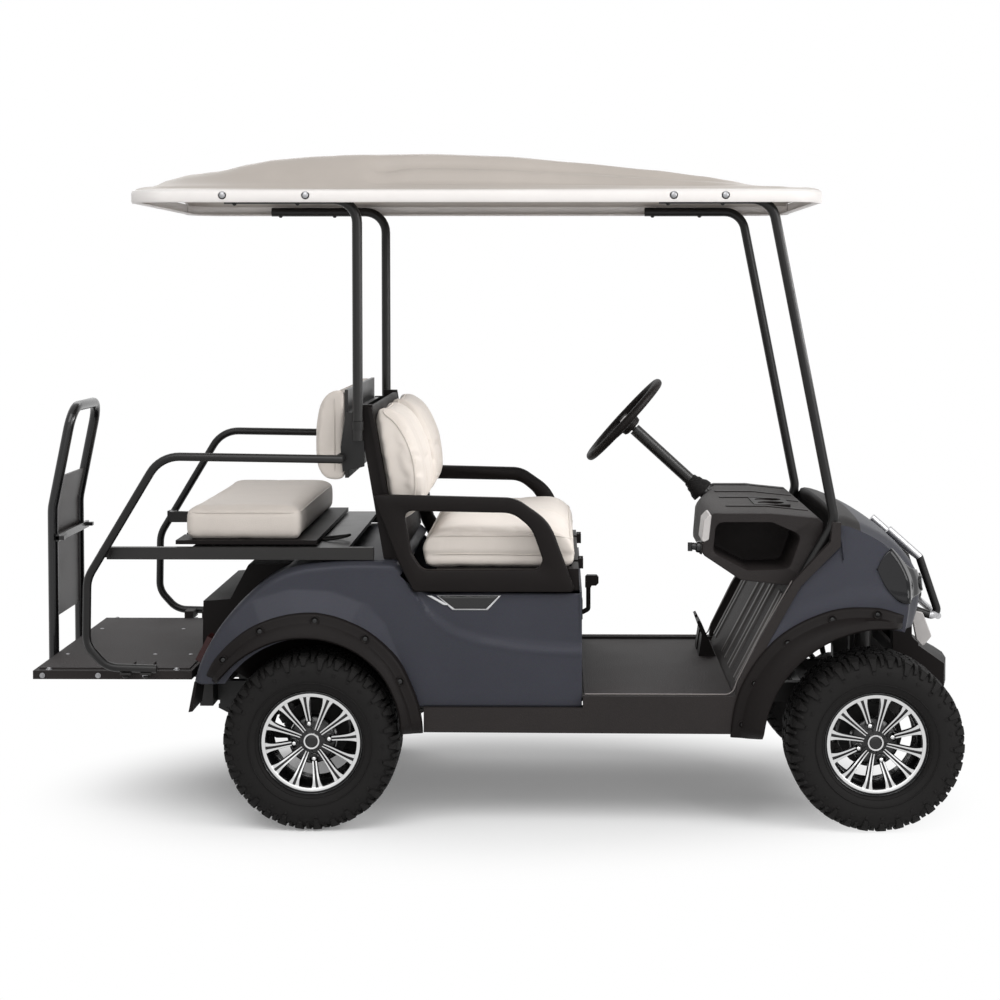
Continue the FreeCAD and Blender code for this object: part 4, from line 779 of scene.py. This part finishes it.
def round_lamps(skin):
    """Two round lamps in each cover, with their bezels."""
    lamps = Form()
    for y in (0.44, 0.382):
        start = Vector((FRONT - 0.03, y - 0.03, FLOOR + 0.328))
        spot, normal = on_skin(skin, start, Vector((1, 0.15, 0)), 0.004)
        lamps.turn([(0, 7), (12, 6.2), (18, 4.2), (19.5, -4)], spot, normal, 28)
        lamps.turn([(19.5, -4), (19.5, 5), (22.5, 5.4), (24, -4)], spot, normal, 28, 1)
    lamps.mirrored()
    lamps.made("head_lamp_lenses", "chassis", [CLEAR, GLOSS], "lamp_lens")


def flares():
    """The wheel flares with their screw bosses, screws and mud flaps."""
    form, screws = Form(), Form()
    # Widths are (angle, inner radius, outer radius) and holes (angle, radius)
    rear_widths = [(2, .272, .336), (25, .28, .338), (45, .288, .351), (66, .292, .362), (86, .295, .369),
                   (115, .3, .366), (140, .306, .358), (150, .312, .35)]
    rear_holes = [(136.8, .338), (113.7, .345), (86.3, .348), (60, .34), (32, .32)]
    front_widths = [(78, .345, .385), (90, .34, .398), (110, .334, .412), (135, .331, .424),
                    (160, .331, .428), (178, .332, .425)]
    front_holes = [(89.8, .38), (109.6, .388), (131.4, .393), (153.7, .396), (172, .394)]
    for heart, widths, holes, lift in (((REAR - 0.008, AXLE + 0.014), rear_widths, rear_holes, 0.018),
                                       ((FRONT, AXLE), front_widths, front_holes, 0.0)):
        low, high = widths[0][0], widths[-1][0]
        rows = []
        for k in range(61):
            a = low + (high - low) * k / 60
            (_, in0, out0), (_, in1, out1), share = neighbours(widths, a)
            t = (ease(share) + share) / 2
            rin, rout = in0 + (in1 - in0) * t, out0 + (out1 - out0) * t
            close = min(1, (a - low) / 5, (high - a) / 5)
            reach = 0.25 + 0.75 * math.sin(max(0, close) * math.pi / 2)
            span = rout - rin
            shape = [(rout, -0.012), (rout, 0.002 + lift), (rout - 0.003, 0.008 + lift),
                     (rout - 0.01, 0.012 + lift), (rout - 0.026, 0.014 + lift), (rout - 0.03, 0.018 + lift),
                     (rin + span * 0.45, 0.045), (rin + span * 0.28, 0.051), (rin + span * 0.14, 0.0575),
                     (rin + 0.006, 0.058), (rin + 0.001, 0.053), (rin, 0.046), (rin + 0.002, 0.02),
                     (rin + 0.003, -0.012)]
            row = []
            for r, h in shape:
                x, z = about(heart, r, a)
                row.append((x, HALF + h * (reach if h > 0 else 1), z))
            rows.append(row)
        form.grid(rows, loop=True, caps=True)
        for a, r in holes:
            x, z = about(heart, r, a)
            spot = (x, HALF + 0.015 + lift, z)
            form.turn([(13.5, -4), (13.5, 3), (12, 3.8), (10.5, 3), (9.8, -4)], spot, ACROSS, 20)
            screws.turn([(0, 1.2), (4, 1), (6.2, 0.4), (7, -2)], spot, ACROSS, 14)
    flap = [(REAR - 0.346, 0.433), (REAR - 0.338, 0.433), (REAR - 0.352, 0.345), (REAR - 0.364, 0.343)]
    form.prism(flap, 0.38, 0.544)
    form.mirrored()
    screws.mirrored()
    form.made("flares_moulded", "chassis", BLACK, "black_moulding", ["wheel_flares"], angle=50)
    screws.made("flare_screws", "chassis", GLOSS, "black_moulding")


def kept_solids():
    """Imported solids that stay, with a finish and softer edges."""
    # The floor pan takes the paler coarse plastic, twice as light as the moulding: a painted reflection of
    # the white floor on its sills.
    keep("floor_pan", COARSE, 0.003)
    keep("mats", MAT, 0.002)
    for node in ("frame_rails", "springs", "front_axle", "rear_seat_frame", "rear_back_frame"):
        keep(node, COATED, 0.002)
    for node in ("rear_axle", "knuckle_left", "knuckle_right"):
        keep(node, CAST)
    keep("engine_block", CAST, 0.006)
    for node in ("front_fascia", "front_bumper", "cup_holders", "pedals", "shift_lever", "seat_base",
                 "seat_back_frame", "flip_board", "tail_cover"):
        keep(node, BLACK, 0.003)
    keep("foot_platform", COARSE, 0.004)
    keep("tail_lamps", RED, 0.003)
    keep("steering_column", COATED)


# Dash and small parts

def polar(outline, centre, count=72):
    """The outline met by rays from a point inside it."""
    made = []
    for angle in (360 * k / count for k in range(count)):
        dx, dz = about((0, 0), 1, angle)
        far = 0.0
        for p, q in zip(outline, outline[1:] + outline[:1]):
            ex, ez = q[0] - p[0], q[-1] - p[-1]
            cross = dx * ez - dz * ex
            if abs(cross) < 1e-12:
                continue
            wx, wz = p[0] - centre[0], p[-1] - centre[1]
            t = (wx * ez - wz * ex) / cross
            s = (wx * dz - wz * dx) / cross
            if t > far and -1e-9 <= s <= 1 + 1e-9:
                far = t
        made.append((centre[0] + dx * far, centre[1] + dz * far))
    return made


def dash():
    """The dash shell with its open end pocket; its far end swings forward."""
    full = rounded(front([(-508, 420), (-500, 518), (-478, 541), (-300, 541), (-148, 526), (-148, 448),
                          (-226, 323), (-391, 342)]), 0.016, 5, True)
    pocket = rounded(front([(-474, 424), (-466, 500), (-452, 514), (-300, 514), (-212, 476), (-248, 376),
                            (-372, 372)]), 0.018, 5, True)
    centre = (FRONT - 0.35, FLOOR + 0.44)
    full, pocket = polar(full, centre), polar(pocket, centre)
    end, deep = 0.488, 0.19

    def ring(points, y, grow=1.0):
        swing = 0.068 * ease((y + 0.1) / 0.55)
        row = []
        for x, z in points:
            x, z = centre[0] + (x - centre[0]) * grow, centre[1] + (z - centre[1]) * grow
            row.append((x + swing * ease((FRONT - 0.25 - x) / 0.2), y, z))
        return row
    rows = [ring(pocket, deep - end, 0.92), ring(pocket, 0.012 - end, 0.99), ring(pocket, 0.002 - end),
            ring(pocket, -end, 1.02), ring(full, -end, 0.975), ring(full, 0.003 - end, 0.99)]
    rows += [ring(full, y) for y in [0.01 - end] + [k / 10 for k in range(-4, 5)] + [end - 0.01]]
    rows += [ring(full, end - 0.003, 0.99), ring(full, end, 0.97)]
    form = Form().grid(rows, loop=True, caps=True)
    form.made("dash_shell", "chassis", COARSE, "black_moulding", ["dash"], angle=45)


def badge_plates():
    """Blank plates on the body's sides: a bright one on a black border, and a slash ahead of them."""
    form = Form()
    for grow, lift, mark in ((0.0, 0.0022, 0), (0.004, 0.003, 1)):
        high = (-0.176 + grow * 1.6, 0.016 - grow * 2.0, 0.689 - grow * 0.8)
        low = (-0.128 + grow * 1.6, -0.024 - grow * 1.2, 0.645 + grow * 0.9)
        rows = []
        for k in range(7):
            a, b, z = (p + (q - p) * k / 6 for p, q in zip(high, low))
            across = [a + (b - a) * i / 24 for i in range(25)]
            rows.append([(x, HALF + rear_relief(x, z) + lift, z) for x in across])
        form.grid(rows, mark)
    slash = []
    for k in range(7):
        x, z = -0.206 + 0.052 * k / 6, 0.689 - 0.03 * k / 6
        slash.append([(x + w, HALF + rear_relief(x + w, z) + 0.0022, z) for w in (0, 0.008, 0.016)])
    form.grid(slash)
    form.mirrored()
    form.made("badge_plates", "chassis", [BRIGHT, GLOSS], "black_moulding", thick=0.0015)


def sill_highlights():
    """Pale thin tubes along the sills and up the front body's edge: a painted highlight for the light caught
    by their rounded edges.
    """
    path = [(0.262, -0.524, FLOOR + 0.0095)] + front([(-418, 9.5), (-404, 50), (-333, 190), (-244, 346)],
                                                     -0.524)
    form = Form().tube(rounded(path, [0, 0.05, 0.08, 0.1, 0], 5), 0.0022, 8)
    form.mirrored()
    form.made("painted_sill_highlights", "chassis", EDGE_HIGHLIGHT, "black_moulding")


def toe_ribs():
    """Ribs up the toe board."""
    form = Form()
    slope = Vector((-0.226 + 0.398, 0, 0.323 + 0.006)).normalized()
    out = Vector((-slope.z, 0, slope.x))
    foot = Vector((FRONT - 0.398, 0, FLOOR + 0.004))
    for y in (-0.462, -0.402, -0.342, -0.18, -0.12, 0.0, 0.12, 0.402, 0.462):
        form.grid([[foot + slope * up + out * h + Vector((0, y + w, 0)) for w, h in
                    ((-0.016, -0.002), (-0.012, 0.01), (-0.008, 0.012), (0.008, 0.012), (0.012, 0.01),
                     (0.016, -0.002))] for up in (0.018, 0.318)], loop=True, caps=True)
    form.made("toe_board_ribs", "chassis", RIB, "mat_rubber", edge=0.0015)


def dash_trims():
    """The dash's bright end panel, the key switch with its key, and the ribs on top."""
    outline = front([(-509, 452), (-501, 520), (-486, 537), (-478, 537), (-486, 462)])
    panel_form = Form().prism(rounded(outline, 0.008, 4, True), -0.49, -0.36)
    panel_form.made("dash_end_panel", "chassis", SILVER, "black_moulding", edge=0.002)
    x, y, z = FRONT - 0.506, -0.45, FLOOR + 0.436
    key = Form().turn([(0, 30), (9, 29), (11, 26), (11, 16), (16, 14), (17.5, 10), (17.5, 4), (21, 2),
                       (22, -4)],
                      (x, y, z), (-1, 0, 0.12), 22)
    key.slab((x - 0.04, y - 0.0035, z - 0.012), (x - 0.026, y + 0.0035, z + 0.014))
    key.made("key_switch", "chassis", GLOSS, "black_moulding", edge=0.0012)
    ribs = Form()
    outline = front([(-420, 540), (-300, 540), (-170, 527), (-170, 530.5), (-300, 544), (-420, 544)])
    for low, high in ((-0.3, -0.27), (-0.03, 0.0), (0.16, 0.19), (0.4, 0.43)):
        ribs.prism(outline, low, high)
    ribs.made("dash_top_ribs", "chassis", BLACK, "black_moulding", edge=0.003)


def bumper_shields():
    """Pale shields on the bumper's side struts."""
    outline = front([(150, 214), (196, 204), (224, 130), (196, 96), (176, 120), (166, 170)])
    form = Form().prism(rounded(outline, 0.008, 4, True), 0.19, 0.206)
    form.mirrored()
    form.made("bumper_shields", "chassis", SILVER, "grey_steel", edge=0.003)


def step_bolts():
    """Bolts on the top and the sides of the foot platform's frame."""
    form = Form()
    for x in (TAIL + 0.075, REAR - 0.52, REAR - 0.41):
        for y in (-0.478, -0.24, 0.24, 0.478):
            form.bolt((x, y, 0.457), (0, 0, 1), 0.007)
    for x in (REAR - 0.5, TAIL + 0.06, REAR - 0.64):
        for sign in (1, -1):
            form.bolt((x, sign * 0.5, 0.443), (0, sign, 0), 0.006)
    form.made("step_bolts", "chassis", STEEL, "grey_steel")


def deck_latch():
    """A rubber loop on the deck, with the block that holds it."""
    loop = [(REAR - 0.012, -0.3, 0.8295), (REAR + 0.02, -0.345, 0.83), (REAR + 0.07, -0.352, 0.838),
            (REAR + 0.092, -0.32, 0.842), (REAR + 0.07, -0.292, 0.836), (REAR + 0.02, -0.286, 0.83)]
    form = Form().tube(dense(loop + loop[:1], 8)[:-1], 0.0042, 8, ring=True)
    form.slab((REAR - 0.028, -0.33, 0.8262), (REAR, -0.272, 0.837))
    form.made("deck_latch", "chassis", RUBBER, "black_moulding", edge=0.002)


# Roof

def roof():
    """The roof shell with its crown, grooves and drip channel, the trim round its edge, and the screws."""
    form = Form()
    back, nose, wide = REAR - 0.537, FRONT - 0.155, 0.56
    corner, rim, rim_top = 0.115, 0.014, 1.8785
    crown = [(back, 1.886), (-1.041, 1.893), (-0.996, 1.918), (-0.926, 1.938), (-0.836, 1.95),
             (-0.745, 1.974), (-0.67, 1.989), (-0.55, 2.0), (-0.429, 2.006), (-0.203, 2.009),
             (0.023, 2.001), (0.248, 1.979), (0.473, 1.954), (0.623, 1.932), (0.7, 1.917), (0.758, 1.902),
             (0.86, 1.89), (0.919, 1.888), (nose, 1.884)]
    # Grooves along the top as (distance from the centre line, depth)
    grooves = ((0.43, 0.016), (0.382, 0.02), (0.325, 0.016), (0.18, 0.008), (0.06, 0.006))

    def height(x):
        (_, z0), (_, z1), t = neighbours(crown, x)
        return z0 + (z1 - z0) * (0.3 * ease(t) + 0.7 * t)

    def half(x):
        share = min(1, (x - back) / corner, (nose - x) / corner)
        return wide - corner * (1 - math.sqrt(max(0, 1 - (1 - share) ** 2)))

    def bump(gap, width):
        return math.exp(-(gap / width) ** 2)
    long = [back + (nose - back) * (1 - math.cos(math.pi * i / 130)) / 2 for i in range(131)]
    rows = []
    for x in long:
        w = half(x)
        row = [(x, w - 0.02, 1.842), (x, w - 0.004, 1.841), (x, w, 1.846), (x, w, 1.87),
               (x, w - 0.003, 1.876), (x, w - rim, rim_top)]
        peak = height(x)
        fade = ease((x + 0.4) / 0.05) * ease((0.8 - x) / 0.3)
        ditch = ease((x - back - 0.05) / 0.05) * ease((nose - 0.05 - x) / 0.05)
        for k in range(1, 67):
            y = (w - rim) * (1 - k / 66)
            inner = w - rim - y
            shelf = min(peak, rim_top + 0.014 * ease(inner / 0.1))
            rise = ease((inner - 0.075) / 0.13)
            z = shelf + (peak - shelf) * (0.86 * rise + 0.14 * ease((inner - 0.1) / 0.4))
            for lane, deep in grooves:
                z -= deep * fade * bump(y - lane, 0.014)
            z -= 0.012 * bump(x + 0.335, 0.05) * bump(y - 0.4, 0.03)
            z -= 0.006 * ditch * bump(inner - 0.07, 0.014)
            row.append((x, y, z))
        rows.append(row)

    def trim(p):
        return 1 if p.z < 1.8775 and abs(p.y) > 0.2 or p.x < back + 0.004 or p.x > nose - 0.004 else 0
    form.grid(rows, choose=trim)
    form.mirrored()
    outline = [(x, half(x)) for x in long] + [(x, -half(x)) for x in reversed(long)]
    ring = []
    for i, (x, y) in enumerate(outline):
        run = Vector(outline[(i + 1) % len(outline)]) - Vector(outline[i - 1])
        if run.length < 1e-6:
            run = Vector((0, -1)) if x > 0 else Vector((0, 1))
        run.normalize()
        ring.append([(x - run.y * out, y + run.x * out, z) for out, z in
                     ((-0.02, 1.844), (-0.002, 1.842), (0.0015, 1.847), (0.0015, 1.869), (-0.001, 1.8765))])
    form.made("roof_top", "chassis", [ROOF, ROOF_BAND], "roof_shell", ["roof"], thick=0.006, weld=2e-4,
              angle=50)
    Form().grid(ring, ring=True).made("roof_trim", "chassis", ROOF_BAND, "roof_shell", thick=0.003)
    screws = Form()
    for x in (REAR - 0.252, REAR - 0.01, FRONT - 0.596, FRONT - 0.446):
        for sign in (1, -1):
            screws.turn([(0, 3.5), (6, 3), (8.5, 1.5), (9, -1), (12, -1), (12.5, -3)],
                        (x, sign * 0.5625, 1.861), (0, sign, 0), 18)
    screws.made("roof_screws", "chassis", STEEL, "grey_steel")


# Tubes

def guard():
    """The brush guard: bright upper tube and lower bar with black uprights between."""
    form = Form()
    half = 0.17
    for y in (half, -half):
        path = rounded(front([(93, 458), (190, 372), (256, 180), (166, 211)], y), 0.018)
        marks = []
        for p, q in zip(path, path[1:]):
            x, _, z = (p + q) / 2
            marks.append(0 if z - FLOOR > 0.372 or z - FLOOR < 0.2 and x < FRONT + 0.249 else 1)
        first = 0
        for i in range(1, len(marks) + 1):
            if i == len(marks) or marks[i] != marks[first]:
                form.tube(path[first:i + 1], 0.0125, 18, marks[first])
                first = i
    for x, z, mark in ((0.186, 0.373, 1), (0.249, 0.188, 0)):
        form.tube([(FRONT + x, y, FLOOR + z) for y in (-half, half)], 0.0105, 14, mark)
    form.made("brush_guard_tubes", "chassis", [SATIN, COATED], "black_steel", ["brush_guard"], weld=1e-6)


def struts():
    """The tubes that carry the roof, with a collar on the rear ones and bolts through the roof's edge."""
    behind, ahead = Form(), Form()
    side, top, x = 0.504, 1.8527, REAR + 0.135
    for y in (side, -side):
        path = [(REAR - 0.255, y, top), (x, y, top), (x, y, FLOOR + 0.756)]
        behind.tube(rounded(path, 0.07), 0.015, 16)
        behind.turn([(17.5, -12), (17.5, 12), (15, 14)], (x, y, FLOOR + 0.8), (0, 0, 1), 16)
        path = [(FRONT - 0.637, y, top), (FRONT - 0.307, y, top)]
        path += front([(-117, 520), (-234, 320), (-356, 60), (-356, 8)], y)
        ahead.tube(rounded(path, 0.07), 0.015, 16)
        for form, place in ((behind, REAR - 0.225), (behind, REAR - 0.04), (ahead, FRONT - 0.61),
                            (ahead, FRONT - 0.45)):
            form.bolt((place, y, 1.8385), (0, 0, -1), 0.006)
    behind.made("rear_strut_tubes", "chassis", COATED, "black_steel", ["rear_struts"])
    ahead.made("front_strut_tubes", "chassis", COATED, "black_steel", ["front_struts"])


def side_rails():
    """The rails at the rear seat's sides, with the plates and bolts that hold them."""
    form = Form()
    side = 0.558
    for y in (side, -side):
        path = rear([(-454, 87), (-600, 91), (-660, 158), (-656, 353), (-439, 713), (96, 705)], y)
        form.tube(rounded(path, [0, 0.075, 0.075, 0.1, 0.1, 0]), 0.0125, 16)
        for x in (REAR - 0.485, REAR - 0.545):
            near, far = sorted((y, y * 0.98))
            form.slab((x - 0.016, near - 0.01, FLOOR + 0.07), (x + 0.016, far + 0.01, FLOOR + 0.077))
            form.bolt((x, y * 0.995, FLOOR + 0.062), (0, 0, -1), 0.007)
    form.made("side_rail_tubes", "chassis", COATED, "black_steel", ["hip_rails"])


def grab_bar():
    """The grab bar behind the deck: a leaning hoop with a smoked plate, a cross bar, hooks and bolts."""
    form = Form()
    x, half, foot, bend = TAIL + 0.016, 0.175, 0.434, 0.907
    lean = math.radians(11.7)
    top_x, top_z = x + 0.322 * math.sin(lean), bend + 0.322 * math.cos(lean)
    path = [(x, half, foot), (x, half, bend), (top_x, half, top_z), (top_x, -half, top_z), (x, -half, bend),
            (x, -half, foot)]
    form.tube(rounded(path, [0, 0.16, 0.07, 0.07, 0.16, 0]), 0.016, 18)
    plate = [(x - 0.003, 0.564), (x + 0.003, 0.564), (x + 0.003, bend), (x + 0.024, 1.005),
             (x + 0.018, 1.006), (x - 0.003, bend)]
    form.prism(plate, -0.161, 0.161, 1)
    form.slab((x + 0.016, -0.205, 0.806), (x + 0.026, 0.205, 0.828))
    for y in (0.196, -0.196):
        hook = flat([(x + 0.016, 0.811), (x + 0.016, 0.823), (x + 0.042, 0.823), (x + 0.042, 0.811)])
        form.prism(rounded(hook, 0.002, 3, True), y - 0.009, y + 0.009)
    for z in (0.6, 0.93):
        for y in (0.145, -0.145):
            form.bolt((x - 0.003, y, z), (-1, 0, 0), 0.006)
    form.made("grab_bar_tubes", "chassis", [GLOSS, SMOKED], "black_steel", ["grab_bar"])


# Seats and steering wheel

def baked(item):
    """The piece with its modifiers made part of its mesh."""
    graph = bpy.context.evaluated_depsgraph_get()
    mesh = bpy.data.meshes.new_from_object(item.evaluated_get(graph), depsgraph=graph)
    item.modifiers.clear()
    item.data = mesh
    return mesh


def cushion(name, body, nodes, form, cap, pinch=None):
    """A stuffed pad: a rounded form, remeshed, blown up as cloth within a cap, and pinched at its seams."""
    item = form.made(name, body, VINYL, "seat_vinyl", nodes)
    soften(item, 0.022, 4)
    baked(item)
    remesh = item.modifiers.new("Cells", "REMESH")
    remesh.mode = "VOXEL"
    remesh.voxel_size = 0.009
    baked(item)
    relax = item.modifiers.new("Relax", "SMOOTH")
    relax.factor = 0.5
    relax.iterations = 4
    mesh = baked(item)
    start = [v.co.copy() for v in mesh.vertices]
    cloth = item.modifiers.new("Cloth", "CLOTH")
    cloth.settings.use_pressure = True
    cloth.settings.uniform_pressure_force = 4.0
    cloth.settings.effector_weights.gravity = 0
    cloth.settings.quality = 4
    cloth.point_cache.frame_start = 1
    cloth.point_cache.frame_end = 20
    for step in range(1, 21):
        bpy.context.scene.frame_set(step)
    mesh = baked(item)
    bpy.context.scene.frame_set(1)
    for v, before in zip(mesh.vertices, start):
        move = v.co - before
        if move.length > cap:
            v.co = before + move * (cap / move.length)
    if pinch:
        for v in mesh.vertices:
            v.co = pinch(v.co)
    mesh.materials.clear()
    mesh.materials.append(VINYL)
    mesh.shade_smooth()
    item.modifiers.new("Smooth", "SUBSURF").levels = 1
    item.modifiers["Smooth"].render_levels = 1
    return item


def welt_on(name, body, item, path, radius=0.0028):
    """Piping laid along the nearest closed line of a pad."""
    tree = BVHTree.FromObject(item, bpy.context.evaluated_depsgraph_get())
    laid = []
    for p in path:
        spot, normal, _, _ = tree.find_nearest(Vector(p))
        laid.append(spot + normal * radius * 0.4)
    for _ in range(3):
        laid = [(laid[i - 1] + laid[i] * 2 + laid[(i + 1) % len(laid)]) / 4 for i in range(len(laid))]
    Form().tube(laid, radius, 8, ring=True).made(name, body, WELT, "seat_vinyl")


def closed_path(corners, radius, count):
    """A closed line with round corners, cut into even steps."""
    path = rounded(corners, radius, 8, True)
    return spread_line([*path, path[0]], count + 1)[:-1]


def ring_path(low, high, z, radius):
    """A level rectangle with round corners."""
    corners = [(low[0], low[1], z), (high[0], low[1], z), (high[0], high[1], z), (low[0], high[1], z)]
    return closed_path(corners, radius, 160)


def front_seat():
    """The front cushion on its pan, one pad with a seam down the middle and along its front and sides."""
    low = 0.7765
    shape = [(326, -9), (315, 42), (330, 76), (374, 94), (470, 97), (560, 95), (690, 100), (742, 92),
             (770, 68), (781, 34), (777, 2), (762, -9)]
    outline = dense([(REAR + x / 1000, low + z / 1000) for x, z in shape], 4)

    def seam(co):
        groove = math.exp(-(co.y / 0.01) ** 2)
        side = math.exp(-((co.z - 0.801) / 0.007) ** 2) * ease((abs(co.y) - 0.45) / 0.02)
        pull = 1 - 0.006 * side / max(0.1, abs(co.y))
        return Vector((co.x, co.y * pull, co.z - 0.006 * groove * ease((co.z - 0.84) / 0.02)))
    pad = cushion("front_seat_pad", "front_seat", ["seat_cushion", "seat_pan"],
                  Form().prism(outline, -0.488, 0.488), 0.01, seam)
    upper = ring_path((REAR + 0.316, -0.492), (REAR + 0.786, 0.492), 0.862, 0.045)
    lower = ring_path((REAR + 0.314, -0.494), (REAR + 0.79, 0.494), 0.801, 0.045)
    welt_on("front_seat_welt", "front_seat", pad, upper)
    welt_on("front_seat_seam", "front_seat", pad, lower, 0.0015)


def front_backs():
    """The two front back cushions, narrower at the top, each with two flutes, a hem and piping."""
    lobe = dense(rear([(240, 514), (262, 514), (304, 546), (320, 600), (312, 690), (292, 756), (258, 822),
                       (220, 851), (184, 846)]), 4)
    for side, sign in (("left", 1), ("right", -1)):
        y0, y1 = sorted((sign * 0.042, sign * 0.496))
        middle = (y0 + y1) / 2

        def waist(co):
            t = (co.z - 0.9) / 0.34
            squeeze = 1 - 0.2 * ease((t - 0.62) / 0.5) - 0.05 * ease((0.16 - t) / 0.2)
            flute = math.exp(-((abs(co.y - middle) - 0.105) / 0.01) ** 2)
            hem = math.exp(-((co.z - 1.075) / 0.01) ** 2) * ease((0.1 - abs(co.y - middle)) / 0.01)
            deep = 0.006 * max(flute, hem) * ease((co.x - (REAR + 0.245)) / 0.06)
            return Vector((co.x - deep, middle + (co.y - middle) * squeeze, co.z))
        pad = cushion(f"front_back_{side}", "chassis", ["backrest_cushions"],
                      Form().prism(lobe, y0 + 0.006, y1 - 0.006), 0.012, waist)
        line = [(258, 514), (296, 556), (308, 632), (300, 698), (276, 769), (234, 832), (205, 846)]
        path = rear(line, y0) + rear(line, y1)[::-1]
        welt_on(f"front_back_welt_{side}", "chassis", pad, spread_line([*path, path[0]], 121)[:-1])


def rear_seat():
    """The flip seat's cushion on its board, and the rear back cushion, both with piping."""
    x0, x1, z0, half = REAR - 0.397, REAR - 0.032, 0.8435, 0.455

    def notch(co):
        """The underside stays flat on its board and clear of the two hinge lugs."""
        near_lug = abs(abs(co.y) - 0.3) < 0.02 and co.x < REAR - 0.346
        return Vector((co.x, co.y, max(co.z, 0.869 if near_lug else 0.8433)))
    form = Form().slab((x0 + 0.005, -half, z0), (x1 - 0.005, half, z0 + 0.092))
    pad = cushion("rear_seat_pad", "rear_seat", ["rear_cushion"], form, 0.009, notch)
    path = ring_path((x0 + 0.002, -0.458), (x1 - 0.002, 0.458), z0 + 0.084, 0.04)
    welt_on("rear_seat_welt", "rear_seat", pad, path, 0.0022)
    block = rear([(14, 662), (10, 720), (12, 800), (26, 872), (50, 898), (84, 902), (88, 880), (86, 700),
                  (84, 636), (34, 636)])
    form = Form().prism(dense(block + block[:1], 3)[:-1], -half, half)
    pad = cushion("rear_back_pad", "chassis", ["rear_back_cushion"], form, 0.009)
    low, high = 1.018, 1.292
    corners = [(REAR + 0.06, y, z) for y, z in ((-0.458, low), (0.458, low), (0.458, high), (-0.458, high))]
    welt_on("rear_back_welt", "chassis", pad, closed_path(corners, 0.05, 140), 0.0022)


def armrests():
    """The moulded armrests: flat loops with rounded edges."""
    outer = rounded(rear([(180, 600), (600, 590), (700, 520), (777, 313), (300, 313), (256, 400)]),
                    [0.01, 0.1, 0.14, 0.012, 0.012, 0.03], 8, True)
    hole = rounded(rear([(272, 552), (592, 546), (648, 500), (690, 380), (326, 378), (294, 428)]),
                   [0.02, 0.08, 0.1, 0.028, 0.035, 0.05], 8, True)
    low, high, r, nick = 0.511, 0.543, 0.007, 0.002
    form = Form()
    for sign in (1, -1):
        rows = []
        for a, b in zip(outer, hole):
            run = (b - a).normalized()
            shape = [(a + run * r, high), (a + run * nick, high - nick), (a, high - r), (a, low + r),
                     (a + run * r, low), (b - run * r, low), (b, low + r), (b, high - r),
                     (b - run * nick, high - nick), (b - run * r, high)]
            rows.append([(p.x, sign * y, p.z) for p, y in shape])
        form.grid(rows, ring=True, loop=True)
    form.made("armrest_mouldings", "chassis", BLACK, "black_moulding", ["armrests"], angle=50)


def wheel_in_hand():
    """The steering wheel: grip, three dished spokes, hub and cap; and the boot on the column."""
    slope = math.radians(42.4)
    axis = Vector((-math.cos(slope), 0, math.sin(slope)))
    centre = Vector((FRONT - 0.712, 0.3, 1.156))
    across = Vector(ACROSS)
    low = Vector((-math.sin(slope), 0, -math.cos(slope)))
    form = Form()
    ring, hub = 0.165, 0.026
    turns = [2 * math.pi * k / 96 for k in range(96)]
    path = [centre + (across * math.cos(a) + low * math.sin(a)) * ring for a in turns]
    form.tube(path, 0.0136, 16, ring=True)
    form.turn([(0, 3), (18, 2), (26, -3), (29, -10), (35, -14), (37, -24), (34, -38), (26, -42)], centre,
              axis, 36)
    form.turn([(0, 5.5), (12, 5), (16.5, 2.5), (17, 0)], centre, axis, 30, 1)
    for angle in (0, 180, 90):
        a = math.radians(angle)
        out = across * math.cos(a) + low * math.sin(a)
        wide = axis.cross(out)
        rows = []
        for k in range(11):
            t = k / 10
            w = 0.02 - 0.009 * math.sin(math.pi * min(1, t * 1.1)) + 0.003 * t
            h = -0.022 + 0.022 * t ** 1.4
            mid = centre + out * (hub + (ring - hub) * t) + axis * h
            rows.append([mid + wide * w * c + axis * 0.0058 * s for c, s in
                         ((-1, 0), (-0.8, 0.8), (0, 1.15), (0.8, 0.8), (1, 0), (0.8, -0.8), (0, -1),
                          (-0.8, -0.8))])
        form.grid(rows, loop=True, caps=True)
    form.made("steering_wheel_grip", "steering_wheel", [BLACK, SILVER], "black_moulding",
              ["steering_wheel"], angle=45)
    boot = Form().turn([(20.5, 40), (24, 36), (25, 26), (30, 20), (31, 8), (38, -4), (40, -20)],
                       centre - axis * 0.335, axis, 36)
    boot.made("column_boot", "chassis", RUBBER, "black_moulding")


look()
studio()
kept_solids()
wheels()
rear_shell()
wheel_house()
cowl()
dash()
flares()
badge_plates()
sill_highlights()
toe_ribs()
dash_trims()
bumper_shields()
step_bolts()
deck_latch()
guard()
roof()
struts()
side_rails()
grab_bar()
armrests()
front_seat()
front_backs()
rear_seat()
wheel_in_hand()
